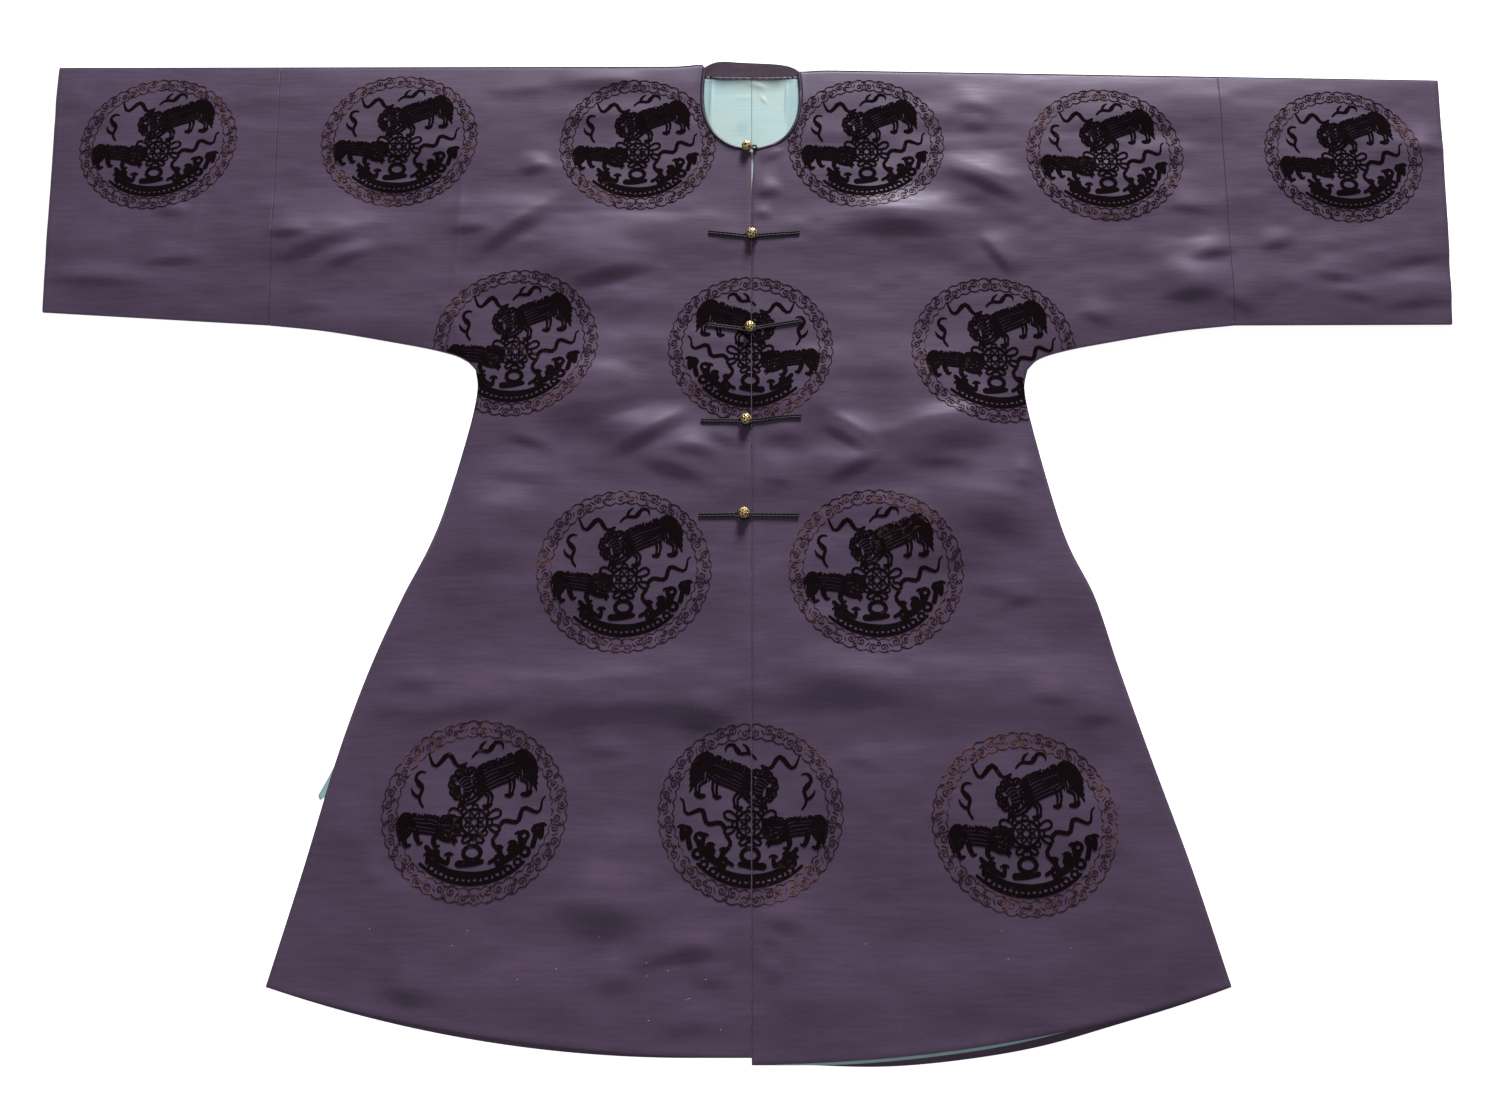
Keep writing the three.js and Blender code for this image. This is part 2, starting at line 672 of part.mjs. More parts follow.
const [turn, dip] = [neckBall.turn, -neckBall.dip].map(THREE.MathUtils.degToRad);
const shankWay = new THREE.Vector3(Math.cos(turn), Math.sin(turn), Math.tan(dip)).normalize();
const lying = new THREE.Quaternion().setFromUnitVectors(down, shankWay);
const neckBallZ = ringZ - cordRadius + ballRadius;
add(
  "ball_neck",
  ball().applyQuaternion(lying).translate(neckBall.x, neckBall.y, neckBallZ),
  materials.gilt,
);

// The frame's origin is on the floor, under the middle of the garment's outline
const outline = new THREE.Box3().setFromObject(garment);
const centre = outline.getCenter(new THREE.Vector3());
garment.position.set(-centre.x, -centre.y, 0);

export default garment;
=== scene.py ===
import math

import bpy
import numpy as np
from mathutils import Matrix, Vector


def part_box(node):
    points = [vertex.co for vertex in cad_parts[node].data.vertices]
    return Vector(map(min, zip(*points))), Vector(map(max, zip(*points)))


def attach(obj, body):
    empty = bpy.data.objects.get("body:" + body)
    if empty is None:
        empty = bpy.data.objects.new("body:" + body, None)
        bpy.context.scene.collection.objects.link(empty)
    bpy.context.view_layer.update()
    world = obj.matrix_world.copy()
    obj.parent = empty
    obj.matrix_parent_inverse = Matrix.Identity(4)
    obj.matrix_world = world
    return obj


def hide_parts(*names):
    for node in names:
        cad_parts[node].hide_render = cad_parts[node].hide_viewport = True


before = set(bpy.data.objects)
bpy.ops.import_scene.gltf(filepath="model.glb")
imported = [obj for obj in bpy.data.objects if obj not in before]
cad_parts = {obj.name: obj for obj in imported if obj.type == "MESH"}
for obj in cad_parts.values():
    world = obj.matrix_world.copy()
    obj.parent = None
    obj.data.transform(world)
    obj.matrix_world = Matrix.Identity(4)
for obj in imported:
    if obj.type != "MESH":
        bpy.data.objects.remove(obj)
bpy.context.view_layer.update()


scene = bpy.context.scene
mm = 0.001

# Where the back of the neck lies in the frame, from the lining's middle seam and its upper edge
seamGap = 0.3
liningTopY = -22
liningLow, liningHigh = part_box("lining_neck_left")
origin = np.array([liningLow[0] / mm - seamGap / 2, liningHigh[1] / mm - liningTopY, 0.0])

# Cloth: the wall that the solids have, and the thinner shell that stands for it here
cloth = {
    "wall": 1.6, "shell": 1.2, "loft": 3.6, "loftReach": 30, "freeEdgeLoft": 0.45, "freeEdgeReach": 60,
    "leastStand": 0.9, "dropShare": 1.7, "standRound": 1.2, "liningWall": 1.0, "liningShell": 0.8,
}
backHeight = cloth["wall"] / 2
seamHeight = 1.5 * cloth["wall"] + seamGap
liningHeight = cloth["wall"] + seamGap
overLining = liningHeight + cloth["liningWall"] + seamGap

neck = {
    "halfWidth": 60, "sideY": -45, "frontY": -127, "draw": 4, "powerY": 2.4, "powerX": 2.2, "backY": -12,
    "liftReach": 20,
}
binding = {
    "width": 4.4, "height": 3.2, "gap": 0.5, "topY": -9, "fromOpening": 0.35, "archPoints": 40,
    "sidePoints": 14,
}
bindingMargin = binding["width"] / 2 + binding["gap"]
neckBaseY = neck["frontY"] - bindingMargin
openingHalf = 0.4

halves = {
    "right": dict(side=-1, neckDown=4, cuffDown=6, seamTop=580, seamLow=555, cuffTop=853, cuffLow=817,
                  cuffLowDown=350, hemDown=1172, backHemDrop=0, edgeGape=0, neckLift=3),
    "left": dict(side=1, neckDown=9, cuffDown=25, seamTop=573, seamLow=555, cuffTop=843, cuffLow=805,
                 cuffLowDown=366, hemDown=1178, backHemDrop=4.5, edgeGape=2.4, neckLift=-2.5),
}
armpitDown = 425
armpitOut = 313
backHemMiddle = 0.35
backHemReach = 0.3
gapeY = -148
gapeReach = 26
underSleeve = {
    "out": [313, 326, 356, 401, 487, 555],
    "down": [425, 412, 401, 391, 375, 367],
}
sideSeam = {
    "down": [425, 450, 500, 600, 645, 700, 780, 870, 990, 1106],
    "right": [313, 309, 315, 336, 350, 373, 401, 425, 449, 474],
    "left": [313, 308, 314, 333, 345, 367, 386, 409, 441, 468],
}
hemCornerDown = sideSeam["down"][-1]

# The largest folds, as in the solids: x, y, length, width, angle, height
folds = [
    (-190, -440, 240, 30, 26, 3.4),
    (-200, -495, 230, 26, 24, -2.2),
    (-100, -520, 190, 24, -16, 3.0),
    (-270, -600, 260, 45, 6, 3.6),
    (-200, -275, 260, 28, 28, 3.0),
    (-475, -282, 170, 24, 19, 3.0),
    (-680, -312, 300, 16, -1, 2.4),
    (-215, -815, 620, 36, 6, 4.6),
    (-100, -1030, 260, 26, -14, 3.2),
    (190, -222, 240, 28, -6, 3.2),
    (280, -190, 170, 20, -34, 2.6),
    (520, -310, 170, 24, -34, 3.2),
    (720, -330, 260, 20, 5, 2.4),
    (105, -490, 190, 24, -34, 3.2),
    (200, -505, 300, 30, 18, 3.6),
    (240, -595, 300, 45, -10, 3.6),
    (210, -805, 620, 36, -5, 4.2),
]
# Finer creases over them: x, y, length, width, angle, height and how far the middle bows upwards
creases = [
    (-345, -215, 420, 4, 90, 0.7, 0),
    (-655, -200, 380, 4, 88, 0.5, 0),
    (-170, -220, 430, 4.5, 0, -0.7, 3),
    (190, -1028, 470, 4.5, -1, -0.6, 2),
    (-270, -1075, 150, 4, 90, 0.6, 0),
    (-345, -370, 110, 7, -62, 1.3, 3),
    (-210, -480, 130, 9, 12, 1.2, 5),
    (-110, -495, 140, 9, 30, 1.3, -4),
    (-265, -225, 130, 8, 38, 1.2, 4),
    (-490, -250, 140, 9, 20, 1.1, 4),
    (-150, -800, 240, 12, 3, 1.2, 6),
    (-150, -1030, 130, 8, -10, 1.0, 3),
    (160, -225, 150, 10, -3, 1.2, 8),
    (280, -165, 120, 8, -28, 1.1, 3),
    (110, -500, 110, 7, -34, 1.3, 2),
    (210, -495, 190, 11, 14, 1.3, 6),
    (260, -590, 180, 12, -12, 1.1, 8),
    (100, -800, 180, 12, 0, 1.2, 10),
    (520, -255, 120, 9, 10, -0.8, 3),
    (740, -265, 170, 10, 8, -0.8, 4),
    (14, -985, 34, 5, 6, 1.0, 1),
    (15, -1010, 36, 5, -8, 1.1, 1),
    (14, -1088, 36, 5, -6, 1.1, 1),
    (13, -1112, 30, 5, 12, 1.0, 1),
]
# One-sided folds, high above and falling away below, set against the roundels.
# Their columns are those of the creases.
drops = [
    (-675, -288, 95, 4, 5, 2.2, 2),
    (-685, -220, 50, 3.5, 2, 1.6, 0),
    (-765, -315, 160, 4.5, -3, 2.2, 3),
    (-545, -250, 65, 4, 0, 2.2, 0),
    (-500, -270, 145, 7, 22, 4.4, 5),
    (-470, -285, 80, 4, 24, 2.4, 2),
    (-510, -350, 70, 4, 5, 1.8, 2),
    (-655, -350, 65, 4, 2, 1.4, 0),
    (-276, -250, 150, 7, 37, 4.4, 5),
    (-330, -243, 75, 4, 3, 2.2, 0),
    (-165, -310, 150, 7, 15, 4.2, 5),
    (-258, -158, 50, 4, 14, 2, 0),
    (-182, -36, 135, 6, 3, 3.6, 4),
    (-280, -46, 95, 4, 9, 1.8, 0),
    (-190, -508, 150, 13, -4, 4.4, 5),
    (-150, -478, 110, 9, 20, 3.4, 3),
    (-115, -510, 135, 6, 30, 3.8, -3),
    (-250, -521, 80, 4.5, -18, 2.8, 2),
    (-87, -555, 105, 5.5, -18, 3.2, 2),
    (-67, -530, 70, 5, -6, 2.8, 0),
    (-256, -566, 120, 6, -5, 2.2, 3),
    (-276, -655, 210, 22, 52, 4.4, 6),
    (-360, -804, 85, 6, -5, 2.6, 2),
    (-32, -515, 45, 4, -20, 1.8, 0),
    (35, -520, 75, 9, -5, 3.4, 3),
    (102, -515, 75, 4, -34, 2.8, 1),
    (112, -555, 100, 5, 27, 3.2, 2),
    (225, -525, 165, 11, 12, 4.4, 5),
    (208, -548, 95, 5, 3, 2.4, 2),
    (302, -557, 34, 3.5, -6, 1.8, 0),
    (300, -572, 32, 3.5, -4, 1.6, 0),
    (270, -625, 155, 15, -14, 4.2, 5),
    (28, -568, 45, 4, -4, 1.6, 0),
    (265, -700, 80, 4, -15, 1.2, 1),
    (285, -710, 70, 4, 18, 1.1, 1),
    (-130, -835, 260, 9, 2, 3.6, 4),
    (-49, -838, 85, 6, -5, 3.2, 1),
    (-295, -832, 165, 7, 7, 2.6, 3),
    (-153, -874, 65, 4, -4, 1.8, 0),
    (-157, -1045, 120, 8, -10, 4.2, 3),
    (-81, -1082, 100, 5, 15, 2.8, 2),
    (-133, -1106, 55, 5, 0, 2.4, 0),
    (-40, -1103, 50, 4, -6, 2, 0),
    (-50, -1076, 60, 4, -8, 2, 0),
    (-334, -1118, 80, 5, -8, 3.8, 2),
    (-376, -1004, 32, 4, 14, 1.6, 0),
    (-410, -968, 60, 8, 3, 2.6, 2),
    (-380, -830, 65, 5, -4, 1.8, 0),
    (-62, -1148, 85, 4, 3, 1.6, 1),
    (100, -822, 170, 11, 0, 3.6, 10),
    (360, -840, 65, 5, 5, 2, 2),
    (312, -818, 62, 4, -8, 1.6, 0),
    (27, -1050, 58, 6, -9, 3.2, 2),
    (18, -1064, 28, 3.5, 4, 1.6, 0),
    (20, -1100, 30, 3.5, 10, 1.6, 0),
    (404, -888, 28, 3.5, 4, 1.4, 0),
    (112, -885, 55, 4, -15, 1.4, 0),
    (169, -250, 165, 9, -3, 4.4, 9),
    (275, -182, 125, 6, -27, 3.4, 2),
    (285, -280, 80, 4, -55, 2.4, 0),
    (271, -72, 78, 4.5, -8, 2, 2),
    (270, -98, 48, 4, -6, 1.4, 0),
    (540, -278, 70, 5, 14, 2.8, 2),
    (510, -333, 85, 6, 5, 3.4, 2),
    (562, -345, 55, 5, -42, 2.4, 0),
    (775, -345, 135, 5, 6, 3.2, 3),
    (680, -308, 78, 4, -8, 2, 0),
    (700, -334, 65, 4, -15, 1.6, 0),
    (617, -264, 55, 4, 14, 2, 0),
    (774, -287, 150, 5, 10, 2, 2),
    (395, -362, 55, 5, -16, 2.8, 0),
    (517, -215, 72, 4, -5, 1.6, 0),
    (812, -130, 48, 4.5, -8, 2, 0),
    (20, -192, 44, 5, 14, 2.4, 0),
    (12, -222, 34, 4, 0, 2, 0),
    (27, -138, 44, 3.5, 30, 1.8, 0),
]
# Soft unevenness of the lying cloth: size of its waves across and along, height, and a seed
unevenness = [(190, 62, 2.4, 3), (70, 26, 1.1, 5), (26, 13, 0.38, 8)]


farAway = 1e3
dropShape = {"soft": 0.4, "fadeAbove": 6, "fadeBelow": 3.0}
noiseLattice = {"size": 256, "shift": 100}
edgeSteps = np.array([0, 0.8, 2.0, 3.6])


# Between two values by a share
def lerp(a, b, t):
    return a + (b - a) * t


# Cubic between a table's neighbouring rows, its slopes taken from the rows beside them
def alongTable(at, values, where):
    at, values = np.array(at, float), np.array(values, float)
    where = np.clip(where, at[0], at[-1])
    rise = np.append(values[1:], values[-1]) - np.insert(values[:-1], 0, values[0])
    run = np.append(at[1:], at[-1]) - np.insert(at[:-1], 0, at[0])
    slope = rise / run
    i = np.clip(np.searchsorted(at, where) - 1, 0, len(at) - 2)
    span = at[i + 1] - at[i]
    t = (where - at[i]) / span
    ends = values[i] * (2 * t**3 - 3 * t**2 + 1) + values[i + 1] * (3 * t**2 - 2 * t**3)
    return ends + span * (slope[i] * (t**3 - 2 * t**2 + t) + slope[i + 1] * (t**3 - t**2))


# Shoulder line: straight from the neck to the cuff, lifted or lowered a little beside the neck
def shoulderY(half, out):
    share = (out - neck["halfWidth"]) / (half["cuffTop"] - neck["halfWidth"])
    besideNeck = np.exp(-(((out - neck["halfWidth"]) / neck["liftReach"]) ** 2))
    return half["neckLift"] * besideNeck - lerp(half["neckDown"], half["cuffDown"], share)


def sideOut(half, y):
    return alongTable(sideSeam["down"], sideSeam["right" if half["side"] < 0 else "left"], -y)


# Under edge of the sleeve: the table as far as the sleeve seam, then straight to the cuff
def underSleeveY(half, out):
    last = underSleeve["out"][-1]
    share = (out - last) / (half["cuffLow"] - last)
    beyond = -lerp(underSleeve["down"][-1], half["cuffLowDown"], share)
    return np.where(out <= last, -alongTable(underSleeve["out"], underSleeve["down"], out), beyond)


# Straight line from the shoulder to the sleeve's under edge
def lineOut(half, top, low, y):
    topY, lowY = shoulderY(half, top), underSleeveY(half, low)
    return lerp(top, low, (topY - y) / (topY - lowY))


# Neck's edge: a power arch below its widest place and a parabola above, grown by a margin
def neckOut(y, margin=0.0):
    width = neck["halfWidth"] + margin
    above = width - neck["draw"] * ((y - neck["sideY"]) / neck["sideY"]) ** 2
    t = np.clip((neck["sideY"] - y) / (neck["sideY"] - neck["frontY"] + margin), 0, 1)
    below = width * (1 - t ** neck["powerY"]) ** (1 / neck["powerX"])
    return np.where(y > neck["sideY"], above, below)


# Inner edge of a front: the neck's arch, then the opening, which gapes as a bell curve
def frontEdge(half, y):
    gape = half["edgeGape"] * np.exp(-(((y - gapeY) / gapeReach) ** 2))
    arch = np.maximum(neckOut(y, bindingMargin), openingHalf)
    return np.where(y > neckBaseY, arch, openingHalf + gape)


# Inner edge of the back: its middle seam
def backEdge(half, y):
    return np.full_like(y, seamGap / 2)


# Hem: a parabola down to the middle. The back's hem drops a little below it.
def hemY(half, share):
    return -lerp(half["hemDown"], hemCornerDown, share**2)


def backHemY(half, share):
    return hemY(half, share) - half["backHemDrop"] * np.exp(-(((share - backHemMiddle) / backHemReach) ** 4))


# Distance from the seams that hold the front layer down
def seamDistance(half, out, y):
    top = shoulderY(half, out) - y
    under = np.where(out > armpitOut, y - underSleeveY(half, out), np.hypot(armpitOut - out, y + armpitDown))
    return np.minimum(top, np.where(-y > armpitDown, sideOut(half, y) - out, under))


# Distance from the neck: an oval below its widest place, a straight edge above it
def neckDistance(out, y):
    depth = (neck["sideY"] - y) / (neck["sideY"] - neck["frontY"])
    oval = (np.hypot(out / neck["halfWidth"], depth) - 1) * neck["halfWidth"]
    return np.where(y > neck["sideY"], out - neckOut(y), oval)


def openingDistance(out, y):
    return np.where(y < neckBaseY, out - openingHalf, farAway)


def hemDistance(half, out, y):
    return y - hemY(half, np.clip(out / sideOut(half, y), 0, 1))


def cuffDistance(half, out, y):
    return lineOut(half, half["cuffTop"], half["cuffLow"], y) - out


def freeEdgeDistance(half, out, y):
    middle = np.minimum(neckDistance(out, y), openingDistance(out, y))
    return np.minimum.reduce((middle, hemDistance(half, out, y), cuffDistance(half, out, y)))


# Sum of ridges: each falls off across as a bell and along as (1 - reach squared) squared.
# Its middle may bow upwards.
def ridgeSum(rows, x, y, bell):
    height = np.zeros_like(x)
    for row in rows:
        cx, cy, length, width, angle, rise = row[:6]
        bow = row[6] if len(row) > 6 else 0
        c, s = math.cos(math.radians(angle)), math.sin(math.radians(angle))
        reach = ((x - cx) * c + (y - cy) * s) / (length / 2)
        across = (y - cy) * c - (x - cx) * s - bow * (1 - reach**2)
        height += rise * bell(across / width) * np.clip(1 - reach**2, 0, 1) ** 2
    return height


def roundBell(u):
    return np.exp(-(u**2))


def sharpBell(u):
    return 1 / (1 + u**2) ** 1.5


# A ramp from 0 at -1 to 1 at 1 with softened ends, which fades out again far above
def dropBell(u):
    ramp = 0.5 + (np.hypot(u + 1, dropShape["soft"]) - np.hypot(u - 1, dropShape["soft"])) / 4
    above = np.exp(-((np.maximum(u, 0) / dropShape["fadeAbove"]) ** 2))
    return ramp * above * np.exp(-((np.minimum(u, 0) / dropShape["fadeBelow"]) ** 2))


# Smooth noise from -1 to 1: random values on a lattice, blended with a smooth step
def softNoise(x, y, sizeX, sizeY, seed):
    size, shift = noiseLattice["size"], noiseLattice["shift"]
    lattice = np.random.default_rng(seed).uniform(-1, 1, (size, size))
    u, v = x / sizeX + shift, y / sizeY + shift
    i, j = np.floor(u).astype(int), np.floor(v).astype(int)
    s, t = u - i, v - j
    s, t = s * s * (3 - 2 * s), t * t * (3 - 2 * t)
    i, j = i % (size - 1), j % (size - 1)
    low = lerp(lattice[i, j], lattice[i + 1, j], s)
    high = lerp(lattice[i, j + 1], lattice[i + 1, j + 1], s)
    return lerp(low, high, t)


def unevenHeight(x, y):
    return sum(h * softNoise(x, y, across, along, seed) for across, along, h, seed in unevenness)


hemTurn = {"fold": 0.45, "foldAt": 3.5, "foldWidth": 2.2, "roll": 0.35, "rollReach": 1.2}


# A turned edge: the cloth is thicker a little way in, and rolls over at the very edge
def turnedEdge(distance):
    fold = hemTurn["fold"] * roundBell((distance - hemTurn["foldAt"]) / hemTurn["foldWidth"])
    return fold - hemTurn["roll"] * np.exp(-np.maximum(distance, 0) / hemTurn["rollReach"])


# Middle of the front layer: it rises from its seams by a soft limit, and carries folds and creases
def frontHeight(half, out, y):
    x = half["side"] * out
    held = 1 - np.exp(-np.maximum(seamDistance(half, out, y), 0) / cloth["loftReach"])
    freeDistance = freeEdgeDistance(half, out, y)
    free = 1 - np.exp(-np.maximum(freeDistance, 0) / cloth["freeEdgeReach"])
    stand = cloth["loft"] * lerp(cloth["freeEdgeLoft"], 1, free) + ridgeSum(folds, x, y, roundBell)
    stand += ridgeSum(creases, x, y, sharpBell) + unevenHeight(x, y)
    stand += cloth["dropShare"] * ridgeSum(drops, x, y, dropBell)
    clear = (stand + cloth["leastStand"] + np.hypot(stand - cloth["leastStand"], cloth["standRound"])) / 2
    return seamHeight + held * clear + turnedEdge(freeDistance)


# Mesh from points in millimetres and four-cornered faces, all as arrays
def meshFrom(name, points, faces, material, smooth=True):
    points = (np.asarray(points, float).reshape(-1, 3) + origin) * mm
    faces = np.asarray(faces, np.int32)
    mesh = bpy.data.meshes.new(name)
    mesh.vertices.add(len(points))
    mesh.vertices.foreach_set("co", points.ravel())
    mesh.loops.add(faces.size)
    mesh.loops.foreach_set("vertex_index", faces.ravel())
    mesh.polygons.add(len(faces))
    mesh.polygons.foreach_set("loop_start", np.arange(0, faces.size, 4, dtype=np.int32))
    mesh.polygons.foreach_set("use_smooth", np.full(len(faces), smooth))
    mesh.update(calc_edges=True)
    mesh.validate()
    mesh.materials.append(material)
    piece = bpy.data.objects.new(name, mesh)
    scene.collection.objects.link(piece)
    return piece


def addAttribute(piece, name, values):
    layer = piece.data.attributes.new(name, "FLOAT", "POINT")
    layer.data.foreach_set("value", np.asarray(values, np.float32).ravel())


def finishPiece(piece, slot, *nodes):
    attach(piece, "root")
    if nodes:
        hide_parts(*nodes)
    return piece


# Gives a one-layer sheet its thickness, half to each side
def thicken(piece, thickness):
    shell = piece.modifiers.new("shell", "SOLIDIFY")
    shell.thickness = thickness * mm
    shell.offset = 0
    return piece


# Quads between neighbouring rows of a grid; a loop joins the last column to the first
def gridFaces(rows, columns, loop=False):
    r = np.arange(rows - 1)[:, None]
    c = np.arange(columns if loop else columns - 1)[None, :]
    a, b = r * columns + c, r * columns + (c + 1) % columns
    return np.stack([a, b, b + columns, a + columns], axis=-1).reshape(-1, 4)


def strip(lower, upper):
    return np.stack([lower[:-1], lower[1:], upper[1:], upper[:-1]], axis=-1)


# Shares from 0 to 1, even but for a few close to the ends that draw the turned edges
def edgedShares(count, span, low=True, high=True):
    close = edgeSteps / span
    start = close if low else np.array([0.0])
    end = 1 - close[::-1] if high else np.array([1.0])
    inner = np.linspace(start[-1], end[0], count)[1:-1]
    return np.concatenate([start, inner, end])


# Catmull-Rom curve through the points, sampled evenly in its parameter
def throughPoints(points, samples):
    p = np.array(points, float)
    ends = np.vstack([2 * p[0] - p[1], p, 2 * p[-1] - p[-2]])
    u = np.linspace(0, len(p) - 1, samples)
    i = np.minimum(u.astype(int), len(p) - 2)
    t = (u - i)[:, None]
    a, b, c, d = ends[i], ends[i + 1], ends[i + 2], ends[i + 3]
    return 0.5 * (2 * b + (c - a) * t + (2 * a - 5 * b + 4 * c - d) * t**2 + (3 * b - a - 3 * c + d) * t**3)


print("outline and folds ready")


# Shader nodes. Keywords are a node's inputs, with _ for a space.
def addNode(tree, kind, settings=None, **inputs):
    node = tree.nodes.new(kind)
    for key, value in (settings or {}).items():
        setattr(node, key, value)
    for key, value in inputs.items():
        plug(tree, node, key.replace("_", " "), value)
    return node


# Puts a number, a colour or another node's output into a socket, found by name or by number
def plug(tree, node, key, value):
    socket = node.inputs[key]
    if isinstance(value, bpy.types.NodeSocket):
        tree.links.new(value, socket)
    elif isinstance(value, bpy.types.Node):
        tree.links.new(value.outputs[0], socket)
    else:
        socket.default_value = value


def addMath(tree, operation, a, b, clamp=False):
    node = addNode(tree, "ShaderNodeMath", {"operation": operation, "use_clamp": clamp})
    plug(tree, node, 0, a)
    plug(tree, node, 1, b)
    return node.outputs[0]


# Numbers times their shares, added up
def weighted(tree, *pairs):
    terms = [addMath(tree, "MULTIPLY", value, share) for value, share in pairs]
    total = terms[0]
    for term in terms[1:]:
        total = addMath(tree, "ADD", total, term)
    return total


# One colour mixed into another by a share
def mixColour(tree, share, a, b):
    node = addNode(tree, "ShaderNodeMix", {"data_type": "RGBA"})
    for number, value in ((0, share), (6, a), (7, b)):
        plug(tree, node, number, value)
    return node.outputs[2]


def mapRange(tree, value, low, high, toLow=0.0, toHigh=1.0):
    limits = {"From_Min": low, "From_Max": high, "To_Min": toLow, "To_Max": toHigh}
    return addNode(tree, "ShaderNodeMapRange", {"clamp": True}, Value=value, **limits).outputs[0]


def noise(tree, vector, scale, detail, roughness=0.5):
    node = addNode(tree, "ShaderNodeTexNoise", Vector=vector, Scale=scale, Detail=detail, Roughness=roughness)
    return node.outputs[0]


def bump(tree, height, strength, distance):
    node = addNode(tree, "ShaderNodeBump", Height=height, Strength=strength, Distance=distance)
    return node.outputs[0]


# A node group: a vector and some numbers go in, and some numbers come out
def newGroup(name, numbers, results):
    tree = bpy.data.node_groups.new(name, "ShaderNodeTree")
    tree.interface.new_socket(name="Vector", in_out="INPUT", socket_type="NodeSocketVector")
    for key, value in numbers.items():
        socket = tree.interface.new_socket(name=key, in_out="INPUT", socket_type="NodeSocketFloat")
        socket.default_value = value
    for key in results:
        tree.interface.new_socket(name=key, in_out="OUTPUT", socket_type="NodeSocketFloat")
    return tree, tree.nodes.new("NodeGroupInput"), tree.nodes.new("NodeGroupOutput")


weave = {"depth": 40.0, "threads": (60, 1500, 60)}


# Weft streaks: noise drawn out along x, with fine threads across it
def makeWeftGroup():
    tree, entry, leave = newGroup("weft streaks", {"Length": 7.0, "Fineness": 420.0}, ("Streaks", "Threads"))
    place = entry.outputs["Vector"]
    stretch = addNode(tree, "ShaderNodeCombineXYZ", X=entry.outputs["Length"], Y=entry.outputs["Fineness"],
                      Z=weave["depth"])
    drawn = addNode(tree, "ShaderNodeVectorMath", {"operation": "MULTIPLY"})
    plug(tree, drawn, 0, place)
    plug(tree, drawn, 1, stretch)
    threads = addNode(tree, "ShaderNodeMapping", Vector=place, Scale=weave["threads"])
    plug(tree, leave, "Streaks", noise(tree, drawn, 1.0, 3.0, 0.6))
    plug(tree, leave, "Threads", noise(tree, threads, 1.0, 1.0))
    return tree


spotFineness = 45.0


# Soft patches of tone at two sizes
def makeToneGroup():
    tree, entry, leave = newGroup("cloth tone", {"Scale": 5.0}, ("Tone", "Spots"))
    place, scale = entry.outputs["Vector"], entry.outputs["Scale"]
    plug(tree, leave, "Tone", noise(tree, place, scale, 3.0, 0.55))
    plug(tree, leave, "Spots", noise(tree, place, addMath(tree, "MULTIPLY", scale, spotFineness), 4.0, 0.7))
    return tree


wornPile = {
    "speckle": 900.0, "patches": 9.0, "grains": 170.0, "from": 0.42, "wearShare": 0.2, "contrast": 12.0,
}


# Pile: fine speckle of cut ends, and the worn places where the ground shows
def makePileGroup():
    tree, entry, leave = newGroup("velvet pile", {"Wear": 0.5}, ("Speckle", "Worn"))
    place = entry.outputs["Vector"]
    patches, grains = (noise(tree, place, wornPile[key], 2.0) for key in ("patches", "grains"))
    together = addMath(tree, "MULTIPLY", patches, grains)
    less = addMath(tree, "MULTIPLY", entry.outputs["Wear"], wornPile["wearShare"])
    above = addMath(tree, "SUBTRACT", together, addMath(tree, "SUBTRACT", wornPile["from"], less))
    plug(tree, leave, "Speckle", noise(tree, place, wornPile["speckle"], 2.0))
    plug(tree, leave, "Worn", addMath(tree, "MULTIPLY", above, wornPile["contrast"], clamp=True))
    return tree


weftGroup = makeWeftGroup()
toneGroup = makeToneGroup()
pileGroup = makePileGroup()


def addGroup(tree, group, **inputs):
    return addNode(tree, "ShaderNodeGroup", {"node_tree": group}, **inputs).outputs


def attribute(tree, name):
    return addNode(tree, "ShaderNodeAttribute", {"attribute_name": name}).outputs["Fac"]


# A new material, its tree and shader, and the place on the object. Keywords set the shader's own inputs.
def startMaterial(name, **inputs):
    material = bpy.data.materials.new(name)
    material.use_nodes = True
    tree = material.node_tree
    shader = next(n for n in tree.nodes if n.type == "BSDF_PRINCIPLED")
    for key, value in inputs.items():
        plug(tree, shader, key.replace("_", " "), value)
    return material, tree, shader, addNode(tree, "ShaderNodeTexCoord").outputs["Object"]


satin = {
    "dark": (0.060, 0.039, 0.070, 1), "light": (0.097, 0.065, 0.111, 1), "roughness": 0.48, "anisotropy": 0.3,
    "specular": 0.2, "sheen": 0.05, "tint": (0.72, 0.62, 0.85, 1),
}
edging = dict(satin, dark=(0.020, 0.017, 0.028, 1), light=(0.046, 0.038, 0.060, 1), specular=0.3,
              roughness=0.4)
# painted light: the collar's satin is a much lighter copy of the body's satin, raised to stand for light on
# the band's shaded face
band = dict(satin, dark=(0.105, 0.074, 0.100, 1), light=(0.36, 0.26, 0.345, 1), sheen=0.03)
satinWeave = {
    "length": 26.0, "fineness": 260.0, "patches": 9.0, "shares": (0.35, 0.55, 0.35),
    "darkest": 0.42, "lightest": 0.82, "smoother": 0.05, "rougher": 0.06, "bump": 0.2,
}
threadDepth = 0.0003
middleRange = (0.3, 0.7)
pileBump = (0.5, 0.0005)


